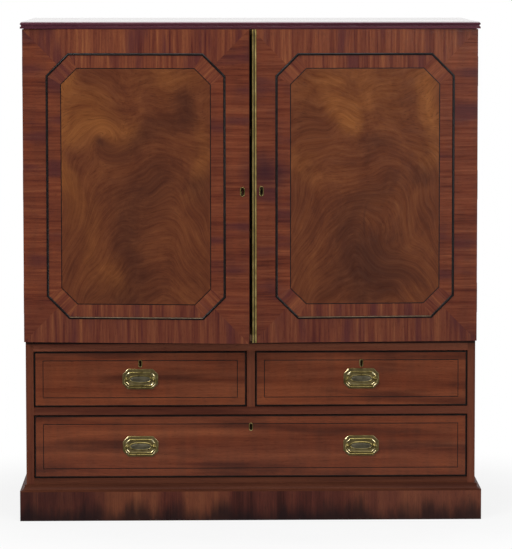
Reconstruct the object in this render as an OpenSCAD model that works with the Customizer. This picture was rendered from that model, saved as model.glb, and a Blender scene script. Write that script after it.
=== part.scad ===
// Two-stage side cabinet: a cupboard with two framed doors over three drawers on a moulded plinth.
// X runs along the front, the front faces -Y, and the floor is at z = 0 under the plinth's centre.

/* [Plinth] */
// Height of the plinth boards
plinth_h = 76; // [50:1:120]
// Thickness of the plinth boards
plinth_t = 22; // [18:1:30]
// How far the plinth stands out from the case at the front and the sides
plinth_reveal = 16; // [14:1:20]
// Height of the moulding that stands on the plinth
moulding_h = 18; // [14:1:20]
// Height of the square lip under the moulding's hollow
moulding_lip = 3; // [1:0.5:4]
// Height of the square band over the moulding's hollow
moulding_band = 4; // [2:0.5:6]
// Width of the bearer that carries the bottom board along its middle
bearer_w = 44; // [30:1:80]
// Leg of the three-cornered blocks inside the plinth
block_leg = 40; // [25:1:60]

/* [Case] */
// Width of the case without the plinth
case_w = 1168; // [1000:1:1400]
// Depth of the case behind the doors
case_d = 520; // [440:1:620]
// Thickness of the case sides
side_t = 20; // [18:1:26]
// Thickness of the back boards
back_t = 10; // [6:1:14]
// Thickness of the boards and shelves inside
board_t = 16; // [12:1:18]
// Height of the base rail that shows over the moulding
base_rail_h = 16; // [12:1:30]
// Thickness of the base rail from front to back
base_rail_t = 22; // [18:1:26]
// Height of the long drawer's opening
long_opening_h = 165.5; // [130:0.5:220]
// Height of the rail between the drawers
mid_rail_h = 20.5; // [18:0.5:30]
// Height of the small drawers' opening
small_opening_h = 146; // [125:1:200]
// Thickness of the partition between the small drawers
partition_t = 21; // [14:1:30]
// Height of the rail over the small drawers
top_rail_h = 26; // [20:1:40]
// Depth of the drawer rails from front to back
rail_d = 60; // [45:1:90]
// Width of the drawer runners
runner_w = 25; // [18:1:40]
// Thickness of the dust boards between the drawers
dust_t = 9; // [6:1:12]
// Distance from the drawer rail's top down to the dust boards
dust_drop = 5; // [3:1:8]
// Height of the upper stage
upper_h = 811; // [650:1:1000]
// Glue line between boards that are joined
glue = 0.05; // [0.02:0.01:0.1]
// Number of shelves
shelf_count = 2; // [1:1:4]
// How far the shelves stand back from the case front
shelf_setback = 40; // [30:1:80]
// Clearance at each end of the shelves
shelf_gap = 0.5; // [0.2:0.1:1.5]
// Width and height of the shelf bearers
shelf_bearer = 18; // [12:1:25]

/* [Top board] */
// Thickness of the top board
top_t = 17; // [15:1:25]
// Overhang of the top board at each side
top_side = 7; // [6:1:30]
// Overhang of the top board in front of the case
top_front = 35; // [28:1:60]
// Radius of the round on the top board's edge
top_round = 4; // [3:0.5:6]
// Width of the step beside the round
top_step = 1; // [0.5:0.5:3]
// Radius of the hollow along the top board's edge
top_hollow_r = 2.8; // [1.5:0.1:3.5]
// Height of the hollow's middle over the board's underside
top_hollow_up = 7.5; // [6:0.5:9]

/* [Doors] */
// Thickness of the doors
door_t = 24; // [20:1:28]
// Gap between the closed doors and the case front
door_gap = 1; // [0.6:0.1:1.6]
// Gap between the two closed doors
meeting_gap = 1.5; // [1.3:0.1:3]
// Gap under the doors
door_foot_gap = 2; // [1:0.5:4]
// Gap over the doors
door_head_gap = 1.5; // [1:0.5:4]
// How far the left door stands open at rest, in degrees
left_door_ajar = 5; // [1:0.5:20]
// How far the right door stands open at rest, in degrees
right_door_ajar = 3; // [1:0.5:20]
// Width of the door stiles
stile_w = 75; // [62:1:110]
// Height of the door rails
door_rail_h = 90; // [62:1:120]
// Thickness of the door panels
panel_t = 14; // [12:1:16]
// Depth of the grooves that hold the panels
panel_groove = 8; // [5:1:12]
// Thickness of the panels' tongues
tongue_t = 6; // [4:1:8]
// Length of the tenons on the door rails
tenon_len = 45; // [30:1:55]
// Thickness of the veneer on the doors
veneer_t = 1; // [0.6:0.1:1.5]
// Inset of the bead's middle from the door's sides
bead_inset = 63; // [50:1:90]
// Inset of the bead's middle from the door's top and bottom
bead_inset_end = 64; // [50:1:90]
// Leg of the bead's canted corners
bead_cant = 56; // [30:1:80]
// Width of the bead
bead_w = 6; // [4:0.5:9]
// How far the bead stands out from the veneer
bead_out = 2.5; // [1:0.5:4]
// Distance from the bead's middle to the string's middle
string_in = 36; // [25:1:60]
// Leg of the string's canted corners
string_cant = 41; // [20:1:60]
// Width of the string
string_w = 2.2; // [1:0.1:4]
// Width of the brass strip on the right door's free edge
strip_w = 11; // [9:0.5:14]
// Thickness of the brass strip's flat
strip_t = 1.2; // [0.8:0.1:1.5]
// Radius of the two beads on the brass strip
strip_bead_r = 1.8; // [1.2:0.1:2]

/* [Hinges] */
// Number of hinges on each door
hinge_count = 3; // [2:1:4]
// Height of a hinge
hinge_h = 76; // [60:1:100]
// Distance from the door's ends to the outer hinges' middles
hinge_end = 110; // [80:1:180]
// Distance from the case side to the pin's axis
pin_out = 1; // [0.8:0.1:2]
// Radius of the hinge barrel
barrel_r = 3; // [2.8:0.1:3.5]
// Radius of the hinge pins
pin_r = 1.5; // [1:0.1:2]
// Running clearance of pins, bolts and handles in their bores
run_gap = 0.05; // [0.03:0.01:0.1]
// Width of a hinge leaf on the wood
leaf_w = 17; // [14:1:17]
// Thickness of a hinge leaf
leaf_t = 1.5; // [1.2:0.1:2]
// Gap between the ends of neighbouring knuckles
knuckle_gap = 0.3; // [0.2:0.1:0.6]

/* [Locks and bolts] */
// Height of the door keyholes over the door's foot
door_keyhole_up = 392; // [300:1:500]
// Distance from the right door's free edge to its keyhole
right_keyhole_in = 24; // [20:1:32]
// Distance from the left door's free edge to its keyhole plate
left_keyhole_in = 17; // [12:1:32]
// Width of the door lock
lock_w = 50; // [46:1:58]
// Height of the door lock
lock_h = 70; // [50:1:90]
// Depth of the door lock in the wood
lock_t = 10; // [9:0.5:12]
// Depth of the drawer locks in the wood
drawer_lock_t = 9; // [7:0.5:10]
// Travel of all lock bolts
lock_travel = 8; // [5:0.5:8]
// Thickness of all lock bolts
lock_bolt_t = 5; // [3:0.5:6]
// Width of all lock bolts
lock_bolt_w = 16; // [10:1:20]
// Clearance around the lock bolts in their cases
lock_gap = 0.25; // [0.1:0.05:0.4]
// Wall of the door lock in front of its bolt
lock_wall = 0.75; // [0.5:0.05:1]
// Radius of the slide bolts on the left door
slide_r = 4; // [3:0.5:5]
// Length of the slide bolts
slide_len = 78; // [70:1:110]
// Travel of the slide bolts
slide_travel = 14; // [10:1:14]
// Distance from the door's back to a slide bolt's axis
slide_out = 9; // [8:0.5:12]
// Distance from the left door's free edge to the slide bolts
slide_in = 38; // [30:1:50]

/* [Drawers] */
// Gap around the drawer fronts
drawer_gap = 1.75; // [1:0.25:3]
// Thickness of the drawer fronts
front_t = 20; // [18:1:26]
// Depth of the drawers with their fronts
drawer_d = 480; // [420:1:490]
// Thickness of the drawer sides
drawer_side_t = 11; // [8:1:14]
// Thickness of the drawer backs
drawer_back_t = 10; // [8:1:14]
// Thickness of the drawer bottoms
drawer_bottom_t = 8; // [5:1:10]
// Height of the drawer bottoms over the sides' lower edges
bottom_up = 10; // [9:1:14]
// Depth of the grooves that hold the drawer bottoms
bottom_groove = 5; // [3:1:6]
// Running gap under the drawer sides
drawer_lift = 0.3; // [0.1:0.1:0.6]
// Wood left between the cock bead and the dovetails
tail_lap = 1; // [0.5:0.5:3]
// Number of dovetails at each corner
tail_count = 3; // [2:1:5]
// Width of the cock bead
cock_w = 3; // [2:0.5:5]
// Depth of the cock bead in the wood
cock_d = 8; // [5:1:9]
// How far the cock bead stands out
cock_out = 1; // [0.5:0.5:2]
// Distance from the drawer front's edges to the string
drawer_string_in = 22; // [14:1:32]
// Width of the drawers' string
drawer_string_w = 1.8; // [1:0.1:3]
// Distance from the drawer front's top edge to its keyhole
drawer_keyhole_down = 31; // [26:1:34]

/* [Handles] */
// Distance from the middle to the handles
handle_x = 287; // [220:1:340]
// Width of a handle's plate
plate_w = 92; // [84:1:110]
// Height of a handle's plate
plate_h = 53; // [50:1:64]
// Leg of the plate's canted corners
plate_cant = 14; // [10:1:16]
// Thickness of the plate
plate_t = 1.2; // [0.8:0.1:2]
// Height of the raised rim on the plate
rim_t = 1.6; // [1:0.1:2]
// Distance between a handle's posts
post_span = 70; // [60:1:76]
// Radius of the posts' eyes
eye_r = 4; // [3.5:0.1:4.5]
// Width of the posts' eyes
eye_w = 7; // [6:0.5:9]
// Distance from the drawer front to the bail's axis
bail_out = 8; // [8:0.5:12]
// Thickness of the bail
bail_t = 3.6; // [3:0.2:4]
// Radius of the bail's pivots
pivot_r = 1.3; // [1:0.1:1.6]
// How far the bail hangs down from its pivots
bail_drop = 21; // [18:1:24]
// Leg of the bail's canted corners
bail_cant = 10.5; // [8:0.5:14]

/* [Hidden] */
$fn = 48;
eps = 0.01;

half_w = case_w / 2;
inner_w = half_w - side_t;
case_front = (plinth_reveal - case_d) / 2;
case_back = case_front + case_d;
back_face = case_back - back_t;

z_case = plinth_h;
z_long = plinth_h + moulding_h + base_rail_h;
z_mid = z_long + long_opening_h;
z_small = z_mid + mid_rail_h;
z_rail = z_small + small_opening_h;
z_split = z_rail + top_rail_h;
z_inner = z_split + board_t;
z_top = z_split + upper_h;
z_ceiling = z_top - board_t;

mahogany = [0.42, 0.22, 0.14];
figured = [0.46, 0.27, 0.15];
oak = [0.56, 0.44, 0.30];
ebony = [0.09, 0.06, 0.05];
brass = [0.62, 0.54, 0.27];
iron = [0.32, 0.30, 0.28];

// A box from its lowest to its highest corner
module block(low, high) {
    translate(low)
        cube([high[0] - low[0], high[1] - low[1], high[2] - low[2]]);
}

// Pieces that run back from y = 0, or towards the front where dir is -1
module facing(dir) {
    mirror([0, dir < 0 ? 1 : 0, 0]) children();
}

// The same pieces on the right and, mirrored, on the left
module both_sides() {
    children();
    mirror([1, 0, 0]) children();
}

// A rod along Y that starts at a point and runs back
module rod_y(at, r, len) {
    translate(at) rotate([-90, 0, 0]) cylinder(r = r, h = len);
}

// A rod along X that starts at a point and runs to the right
module rod_x(at, r, len) {
    translate(at) rotate([0, 90, 0]) cylinder(r = r, h = len);
}

// A shape drawn in X and Z, from the plane y towards the front
module front_plate(x, y, z, t) {
    translate([x, y, z]) rotate([90, 0, 0]) linear_extrude(t) children();
}

// A stadium with upright sides
module stadium(w, h) {
    square([w, h - w], center = true);
    for (s = [-1, 1])
        translate([0, s * (h - w) / 2]) circle(d = w);
}

// An outline with four canted corners, clockwise from the top edge's right end
function canted(w, h, c) = [
    [w / 2 - c, h / 2], [w / 2, h / 2 - c], [w / 2, c - h / 2], [w / 2 - c, -h / 2],
    [c - w / 2, -h / 2], [-w / 2, c - h / 2], [-w / 2, h / 2 - c], [c - w / 2, h / 2]
];

// Leg of a canted corner after its outline is drawn in by k
function drawn_in(c, k) = c - k * (2 - sqrt(2));

// Plinth

plinth_front_y = case_front - plinth_reveal;
plinth_half_w = half_w + plinth_reveal;
plinth_in_w = plinth_half_w - plinth_t;
plinth_in_front = plinth_front_y + plinth_t;
plinth_in_back = case_back - plinth_t;
cove_r = moulding_h - moulding_lip - moulding_band;

module plinth_front() {
    color(mahogany) linear_extrude(plinth_h) polygon([
        [-plinth_half_w, plinth_front_y], [plinth_half_w, plinth_front_y],
        [plinth_in_w, plinth_in_front], [-plinth_in_w, plinth_in_front]
    ]);
}

module plinth_sides() {
    color(mahogany) both_sides() linear_extrude(plinth_h) polygon([
        [plinth_half_w, plinth_front_y], [plinth_half_w, case_back],
        [plinth_in_w, case_back], [plinth_in_w, plinth_in_front]
    ]);
}

module plinth_back() {
    color(oak) block([-plinth_in_w, plinth_in_back, 0], [plinth_in_w, case_back, plinth_h]);
}

// The bearer stands on the floor and carries the bottom board
module plinth_bearer() {
    color(oak) {
        block([-bearer_w / 2, plinth_in_front, 0], [bearer_w / 2, plinth_in_back, plinth_h]);
        block([-bearer_w / 2, case_front + base_rail_t, plinth_h - eps],
              [bearer_w / 2, plinth_in_back, z_long - board_t]);
    }
}

module plinth_blocks() {
    color(oak) both_sides() linear_extrude(plinth_h) {
        polygon([[plinth_in_w, plinth_in_front], [plinth_in_w, plinth_in_front + block_leg],
                 [plinth_in_w - block_leg, plinth_in_front]]);
        polygon([[plinth_in_w, plinth_in_back], [plinth_in_w - block_leg, plinth_in_back],
                 [plinth_in_w, plinth_in_back - block_leg]]);
    }
}

// A bar along X with the moulding's section; its back is at y = 0 and it stands out towards -Y
module moulding_bar(len) {
    difference() {
        translate([-len / 2, -plinth_reveal, 0]) cube([len, plinth_reveal, moulding_h]);
        rod_x([-len / 2 - 1, -plinth_reveal, moulding_lip + cove_r], cove_r, len + 2);
        block([-len / 2 - 1, -plinth_reveal - 1, moulding_lip + cove_r],
              [len / 2 + 1, cove_r - plinth_reveal, moulding_h + 1]);
    }
}

module plinth_moulding() {
    color(mahogany) translate([0, 0, z_case]) {
        intersection() {
            translate([0, case_front, 0]) moulding_bar(2 * plinth_half_w + 2);
            linear_extrude(moulding_h) polygon([
                [2 * glue - plinth_half_w, plinth_front_y],
                [plinth_half_w - 2 * glue, plinth_front_y],
                [half_w - 2 * glue, case_front], [2 * glue - half_w, case_front]
            ]);
        }
        both_sides() intersection() {
            translate([half_w, 0, 0]) rotate([0, 0, 90]) moulding_bar(2 * case_d);
            linear_extrude(moulding_h) polygon([
                [plinth_half_w, plinth_front_y], [plinth_half_w, case_back],
                [half_w, case_back], [half_w, case_front]
            ]);
        }
    }
}

// Hinges, in the place of the right door

pin_x = half_w + pin_out;
pin_y = case_front - door_gap / 2;
door_z0 = z_split + door_foot_gap;
door_z1 = z_top - door_head_gap;
knuckle_count = 5;
knuckle_h = (hinge_h - (knuckle_count - 1) * knuckle_gap) / knuckle_count;
notch_gap = 0.3;
notch_r = barrel_r + notch_gap;
screw_r = 1.3;
screw_head_r = 2.6;
screw_len = 14;
screw_gap = 0.1;
screw_x = half_w - leaf_w / 2;
screw_rise = 26;
screw_slot_w = 0.6;
screw_slot_d = 0.4;

function hinge_z(i) = door_z0 + hinge_end
    + i * (door_z1 - door_z0 - 2 * hinge_end) / (hinge_count - 1);

module at_hinges() {
    for (i = [0:hinge_count - 1])
        translate([0, 0, hinge_z(i)]) children();
}

module at_screws() {
    for (k = [-1, 0, 1])
        translate([screw_x, pin_y, k * screw_rise]) children();
}

// A screw whose head is flush with y = 0 and whose shank runs back; grow widens it for its hole
module screw(grow) {
    rotate([-90, 0, 0]) {
        cylinder(r1 = screw_head_r + grow, r2 = screw_r + grow, h = screw_head_r - screw_r);
        cylinder(r = screw_r + grow, h = screw_len + grow);
    }
}

module slotted_screw() {
    difference() {
        screw(0);
        block([-screw_head_r, -eps, -screw_slot_w / 2],
              [screw_head_r, screw_slot_d, screw_slot_w / 2]);
    }
}

// Holes of the screws in the wood; dir is 1 for the case and -1 for the door
module screw_holes(dir) {
    at_hinges() at_screws() facing(dir)
        rod_y([0, -1, 0], screw_r + screw_gap, screw_len + 2);
}

// One knuckle of the barrel, counted from below
module knuckle(k, r, grow) {
    translate([pin_x, pin_y, k * (knuckle_h + knuckle_gap) - hinge_h / 2 - grow])
        cylinder(r = r, h = knuckle_h + 2 * grow);
}

// One leaf with its knuckles and screws; parity 0 is the case's leaf and 1 is the door's
module hinge_leaf(parity) {
    dir = parity == 0 ? 1 : -1;
    difference() {
        union() {
            facing(dir) translate([half_w - leaf_w, dir * pin_y, -hinge_h / 2])
                cube([leaf_w + pin_out, leaf_t, hinge_h]);
            for (k = [parity:2:knuckle_count - 1]) knuckle(k, barrel_r, 0);
        }
        for (k = [1 - parity:2:knuckle_count - 1]) knuckle(k, notch_r, knuckle_gap);
        translate([pin_x, pin_y, -hinge_h]) cylinder(r = pin_r + run_gap, h = 2 * hinge_h);
        at_screws() facing(dir) screw(screw_gap / 2);
    }
    at_screws() facing(dir) slotted_screw();
}

// Room in the wood for one leaf and for the turning barrel
module leaf_recess(dir) {
    at_hinges() {
        facing(dir) translate([half_w - leaf_w, dir * pin_y, -hinge_h / 2])
            cube([leaf_w + 1, leaf_t, hinge_h]);
        translate([pin_x, pin_y, -hinge_h / 2 - knuckle_gap])
            cylinder(r = notch_r, h = hinge_h + 2 * knuckle_gap);
    }
}

module case_hinge_leaves() {
    color(brass) both_sides() at_hinges() hinge_leaf(0);
}

module hinge_pins() {
    color(brass) both_sides() at_hinges()
        translate([pin_x, pin_y, -hinge_h / 2]) cylinder(r = pin_r, h = hinge_h);
}

// Case

z_stretch = z_top - z_inner - board_t;
shelf_space = (z_stretch - shelf_count * board_t) / (shelf_count + 1);
shelf_front = case_front + shelf_setback;
slide_x = meeting_gap / 2 + slide_in;
door_back = case_front - door_gap;
slide_y = door_back + slide_out;
slide_hole_gap = 0.6;
slide_hole_r = slide_r + slide_hole_gap;
slide_hole_floor = 4;
slide_hole_d = board_t - slide_hole_floor;
partition_half = partition_t / 2;
long_w = 2 * inner_w;
small_w = inner_w - partition_half;
small_x = (inner_w + partition_half) / 2;
lock_y = case_front + front_t - drawer_lock_t / 2;
mortise_gap = 1;
mortise_d = lock_travel + mortise_gap;

function shelf_z(i) = z_inner + (i + 1) * shelf_space + i * board_t;

module top_board() {
    body_h = top_t - top_round;
    low_x = half_w + top_side;
    low_y = case_front - top_front;
    in = top_round + top_step;
    color(mahogany) translate([0, 0, z_top]) difference() {
        intersection() {
            union() {
                block([-low_x, low_y, 0], [low_x, case_back, body_h]);
                block([in - low_x, low_y, 0], [low_x - in, case_back, top_t]);
                both_sides() translate([low_x - in, low_y, body_h]) rotate([-90, 0, 0])
                    cylinder(r = top_round, h = case_back - low_y);
            }
            union() {
                block([-low_x, low_y, 0], [low_x, case_back, body_h]);
                block([-low_x, low_y + in, 0], [low_x, case_back, top_t]);
                rod_x([-low_x, low_y + in, body_h], top_round, 2 * low_x);
            }
        }
        rod_x([-low_x - 1, low_y, top_hollow_up], top_hollow_r, 2 * low_x + 2);
        both_sides() rod_y([low_x, low_y - 1, top_hollow_up], top_hollow_r,
                           case_back - low_y + 2);
    }
}

module upper_sides() {
    color(mahogany) both_sides() difference() {
        block([inner_w, case_front, z_split], [half_w, case_back, z_top]);
        leaf_recess(1);
        screw_holes(1);
    }
}

module inner_top() {
    color(oak) difference() {
        block([-inner_w, case_front, z_ceiling], [inner_w, back_face, z_top]);
        translate([-slide_x, slide_y, z_ceiling - 1]) cylinder(r = slide_hole_r, h = slide_hole_d + 1);
    }
}

module upper_bottom() {
    color(oak) difference() {
        block([-inner_w, case_front, z_split], [inner_w, back_face, z_inner]);
        translate([-slide_x, slide_y, z_inner - slide_hole_d])
            cylinder(r = slide_hole_r, h = slide_hole_d + 1);
    }
}

// Four upright boards close the upper stage and two lying boards the lower one
module back_boards() {
    board_w = 2 * inner_w / 4;
    board_h = (z_split - z_case) / 2;
    color(oak) {
        for (i = [0:3])
            block([i * board_w - inner_w + glue, back_face, z_split + glue],
                  [(i + 1) * board_w - inner_w - glue, case_back, z_top]);
        for (i = [0:1])
            block([-inner_w, back_face, z_case + i * board_h],
                  [inner_w, case_back, z_case + (i + 1) * board_h - glue]);
    }
}

module shelves() {
    color(oak) for (i = [0:shelf_count - 1])
        block([shelf_gap - inner_w, shelf_front, shelf_z(i)],
              [inner_w - shelf_gap, back_face, shelf_z(i) + board_t]);
}

module shelf_bearers() {
    color(oak) both_sides() for (i = [0:shelf_count - 1])
        block([inner_w - shelf_bearer, shelf_front + shelf_bearer, shelf_z(i) - shelf_bearer],
              [inner_w, back_face, shelf_z(i)]);
}

module lower_sides() {
    color(mahogany) both_sides()
        block([inner_w, case_front, z_case], [half_w, case_back, z_split]);
}

// Mortise in the underside of a rail for a drawer's lock bolt
module bolt_mortise(x, z) {
    block([x - lock_bolt_w / 2 - mortise_gap, lock_y - lock_bolt_t / 2 - mortise_gap, z - 1],
          [x + lock_bolt_w / 2 + mortise_gap, lock_y + lock_bolt_t / 2 + mortise_gap,
           z + mortise_d]);
}

// The top rail and the board behind it
module lower_top() {
    color(mahogany) difference() {
        block([-inner_w, case_front, z_rail], [inner_w, case_front + rail_d, z_split]);
        for (x = [-small_x, small_x]) bolt_mortise(x, z_rail);
    }
    color(oak)
        block([-inner_w, case_front + rail_d + glue, z_split - board_t],
              [inner_w, back_face, z_split]);
}

module drawer_partition() {
    color(mahogany)
        block([-partition_half, case_front, z_small], [partition_half, back_face, z_rail]);
}

// The rail over the long drawer and the two dust boards behind it
module middle_rail() {
    dust_top = z_small - dust_drop;
    color(mahogany) difference() {
        block([-inner_w, case_front, z_mid], [inner_w, case_front + rail_d, z_small]);
        bolt_mortise(0, z_mid);
    }
    color(oak) both_sides()
        block([partition_half + runner_w, case_front + rail_d + glue, dust_top - dust_t],
              [inner_w - runner_w, back_face, dust_top]);
}

// The bottom board and the base rail in front of it
module bottom_board() {
    color(mahogany)
        block([-inner_w, case_front, z_case], [inner_w, case_front + base_rail_t, z_long]);
    color(oak)
        block([-inner_w, case_front + base_rail_t + glue, z_long - board_t],
              [inner_w, back_face, z_long]);
}

// Runners under and kickers over the small drawers, and the stops behind all drawer fronts
module drawer_runners() {
    runner_front = case_front + rail_d;
    mid_w = partition_half + runner_w;
    color(oak) {
        for (z = [[z_mid, z_small], [z_rail, z_split - board_t]]) {
            both_sides()
                block([inner_w - runner_w, runner_front, z[0]], [inner_w, back_face, z[1]]);
            block([-mid_w, runner_front, z[0]], [mid_w, back_face, z[1]]);
        }
        for (x = [-small_x - stop_x, stop_x - small_x, small_x - stop_x, small_x + stop_x])
            drawer_stop(x, z_small);
        for (x = [-handle_x, handle_x])
            drawer_stop(x, z_long);
    }
}

stop_x = 150;
stop_w = 40;
stop_d = 12;
stop_h = 5;

module drawer_stop(x, z) {
    front = case_front + front_t + drawer_lift;
    block([x - stop_w / 2, front, z], [x + stop_w / 2, front + stop_d, z + stop_h]);
}

// Doors: every piece is drawn on the closed right door; the left door is its mirror image

door_x0 = meeting_gap / 2;
door_w = half_w - door_x0;
door_h = door_z1 - door_z0;
door_cx = door_x0 + door_w / 2;
door_cz = (door_z0 + door_z1) / 2;
door_face = door_back - door_t;
core_face = door_face + veneer_t;
tongue_y = core_face + (panel_t - tongue_t) / 2;
door_lock_z = door_z0 + door_keyhole_up;
door_bolt_y = door_back - lock_t + lock_wall + lock_gap + lock_bolt_t / 2;
plate_flush = 0.4;
left_plate = [12, 24.5];
right_plate = [11.6, 26];
drawer_plate = [10, 21];
keyhole_r = 2.2;
keyhole_slot = 2.4;
keeper_t = 1.5;
keeper_w = 12;
keeper_h = 44;
keeper_spare = 3;
false_keyhole_d = 3;

// The closed right door turned open on its pins
module right_hung() {
    translate([pin_x, pin_y, 0]) rotate([0, 0, right_door_ajar])
        translate([-pin_x, -pin_y, 0]) children();
}

// The closed right door mirrored to the left and turned open on its pins
module left_hung() {
    mirror([1, 0, 0]) translate([pin_x, pin_y, 0]) rotate([0, 0, left_door_ajar])
        translate([-pin_x, -pin_y, 0]) children();
}

// A shape on the door's front, centred on the door
module on_door(y, t) {
    front_plate(door_cx, y, door_cz, t) children();
}

// Outline that runs round the door at an inset from the bead's middle
function bead_outline(k) = canted(door_w - 2 * (bead_inset + k),
    door_h - 2 * (bead_inset_end + k), drawn_in(bead_cant, k));

// Outline that runs round the door at an inset from the string's middle
function string_outline(k) = canted(door_w - 2 * (bead_inset + string_in + k),
    door_h - 2 * (bead_inset_end + string_in + k), drawn_in(string_cant, k));

// A keyhole from the front face back to the lock
module keyhole(x, z, y, depth) {
    rod_y([x, y - 2, z + keyhole_r], keyhole_r, depth + 2);
    block([x - keyhole_slot / 2, y - 2, z - 3 * keyhole_r],
          [x + keyhole_slot / 2, y + depth, z + keyhole_r]);
}

// A keyhole plate let in by depth; it stands out by plate_flush
module keyhole_plate(x, z, y, size, depth, bore) {
    difference() {
        front_plate(x, y + depth, z, depth + plate_flush) stadium(size[0], size[1]);
        keyhole(x, z, y, bore);
    }
}

module plate_recess(x, z, y, size, depth) {
    front_plate(x, y + depth, z, depth + 1) stadium(size[0], size[1]);
}

// Stiles with grooves for the panel and mortises for the rails' tenons
module door_stiles() {
    for (s = [0, 1]) {
        x = s == 0 ? door_x0 : half_w - stile_w;
        inner = s == 0 ? x + stile_w : x;
        difference() {
            block([x, core_face, door_z0], [x + stile_w, door_back, door_z1]);
            block([inner - panel_groove, tongue_y, door_z0 + door_rail_h - panel_groove],
                  [inner + panel_groove, tongue_y + tongue_t,
                   door_z1 - door_rail_h + panel_groove]);
            door_tenons(glue);
        }
    }
}

// The rails' tenons; grow widens them for their mortises
module door_tenons(grow) {
    for (z = [door_z0, door_z1 - door_rail_h])
        block([door_x0 + stile_w - tenon_len - grow, tongue_y - grow,
               z + panel_groove + 4 - grow],
              [half_w - stile_w + tenon_len + grow, tongue_y + tongue_t + grow,
               z + door_rail_h - panel_groove - 4 + grow]);
}

module door_rails() {
    for (z = [door_z0, door_z1 - door_rail_h]) {
        edge = z == door_z0 ? z + door_rail_h : z;
        difference() {
            block([door_x0 + stile_w + glue, core_face, z],
                  [half_w - stile_w - glue, door_back, z + door_rail_h]);
            block([0, tongue_y, edge - panel_groove],
                  [half_w, tongue_y + tongue_t, edge + panel_groove]);
        }
    }
}

module door_panel() {
    in = panel_groove - glue;
    low = [door_x0 + stile_w + glue, core_face, door_z0 + door_rail_h + glue];
    high = [half_w - stile_w - glue, core_face + panel_t, door_z1 - door_rail_h - glue];
    block(low, high);
    block([low[0] - in, tongue_y + glue, low[2] - in],
          [high[0] + in, tongue_y + tongue_t - glue, high[2] + in]);
}

// Stiles, rails and panel of one door; children are cut out of the stiles
module door_frame() {
    difference() {
        door_stiles();
        leaf_recess(-1);
        screw_holes(-1);
        children();
    }
    door_rails();
    door_tenons(0);
    door_panel();
}

// Four mitred margins outside the bead and eight short bands inside it
module door_bands() {
    outer = bead_outline(-bead_w / 2);
    inner = bead_outline(bead_w / 2);
    string = string_outline(-string_w / 2);
    w = door_w / 2;
    h = door_h / 2;
    corner = [[w, h], [w, -h], [-w, -h], [-w, h]];
    for (k = [0:3])
        on_door(core_face, veneer_t) polygon([
            corner[(k + 3) % 4], corner[k],
            (outer[2 * k] + outer[2 * k + 1]) / 2, outer[2 * k], outer[(2 * k + 7) % 8],
            (outer[(2 * k + 6) % 8] + outer[(2 * k + 7) % 8]) / 2
        ]);
    for (k = [0:7])
        on_door(core_face, veneer_t)
            polygon([inner[k], inner[(k + 1) % 8], string[(k + 1) % 8], string[k]]);
}

// A ring between two outlines
module ring(outer, inner) {
    difference() {
        polygon(outer);
        polygon(inner);
    }
}

module door_bead() {
    color(ebony) on_door(core_face, veneer_t + bead_out)
        ring(bead_outline(-bead_w / 2), bead_outline(bead_w / 2));
}

module door_string() {
    color(ebony) on_door(core_face, veneer_t)
        ring(string_outline(-string_w / 2), string_outline(string_w / 2));
}

module door_field() {
    color(figured) on_door(core_face, veneer_t) polygon(string_outline(string_w / 2));
}

left_key_x = door_x0 + left_keyhole_in;
right_key_x = door_x0 + right_keyhole_in;

module left_door_frame() {
    color(mahogany) left_hung() door_frame() {
        block([door_x0 - 1, door_bolt_y - keeper_w / 2, door_lock_z - keeper_h / 2],
              [door_x0 + keeper_t, door_bolt_y + keeper_w / 2, door_lock_z + keeper_h / 2]);
        keeper_slot(lock_travel + keeper_t + keeper_spare);
        keyhole(left_key_x, door_lock_z, core_face, false_keyhole_d);
    }
}

// Room for the lock bolt in the left door's free edge
module keeper_slot(depth) {
    block([door_x0 - 1, door_bolt_y - lock_bolt_t / 2 - mortise_gap,
           door_lock_z - lock_bolt_w / 2 - mortise_gap],
          [door_x0 + depth, door_bolt_y + lock_bolt_t / 2 + mortise_gap,
           door_lock_z + lock_bolt_w / 2 + mortise_gap]);
}

module left_door_bands() {
    color(mahogany) left_hung() difference() {
        door_bands();
        plate_recess(left_key_x, door_lock_z, door_face, left_plate, veneer_t);
    }
}

module left_door_bead() {
    left_hung() door_bead();
}

module left_door_string() {
    left_hung() door_string();
}

module left_door_field() {
    left_hung() door_field();
}

// The keyhole plate on the face and the keeper in the free edge
module left_door_plates() {
    color(brass) left_hung() {
        keyhole_plate(left_key_x, door_lock_z, door_face, left_plate, veneer_t, veneer_t);
        difference() {
            block([door_x0, door_bolt_y - keeper_w / 2, door_lock_z - keeper_h / 2],
                  [door_x0 + keeper_t, door_bolt_y + keeper_w / 2, door_lock_z + keeper_h / 2]);
            keeper_slot(lock_travel);
        }
    }
}

module left_door_hinge_leaves() {
    color(brass) left_hung() at_hinges() hinge_leaf(1);
}

guide_w = 26;
guide_t = 2;
guide_end = 7;
guide_tail = 4;
collar_w = 15;
collar_h = 9;
collar_rise = 4;
slide_tip = 5;
knob_r = 3.8;
knob_len = 8;
knob_down = 42;

// A slide bolt's guides; z = 0 is the board it shoots into and the bolt points up to it
module bolt_guides() {
    low = -slide_tip - slide_len;
    difference() {
        union() {
            block([slide_x - guide_w / 2, door_back, low + guide_tail],
                  [slide_x + guide_w / 2, door_back + guide_t, -guide_end]);
            for (z = [-guide_end - collar_rise - collar_h, low + guide_tail + collar_rise])
                block([slide_x - collar_w / 2, door_back + guide_t / 2, z],
                      [slide_x + collar_w / 2, slide_y + slide_r + guide_t, z + collar_h]);
        }
        translate([slide_x, slide_y, low - 1]) cylinder(r = slide_r + run_gap, h = slide_len);
    }
}

module slide_bolt() {
    translate([slide_x, slide_y, -slide_tip - slide_len]) cylinder(r = slide_r, h = slide_len);
    rod_y([slide_x, slide_y, -slide_tip - knob_down], knob_r, slide_r + knob_len);
}

module at_ceiling() {
    left_hung() translate([0, 0, z_ceiling]) children();
}

module at_floor() {
    left_hung() translate([0, 0, z_inner]) mirror([0, 0, 1]) children();
}

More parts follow.
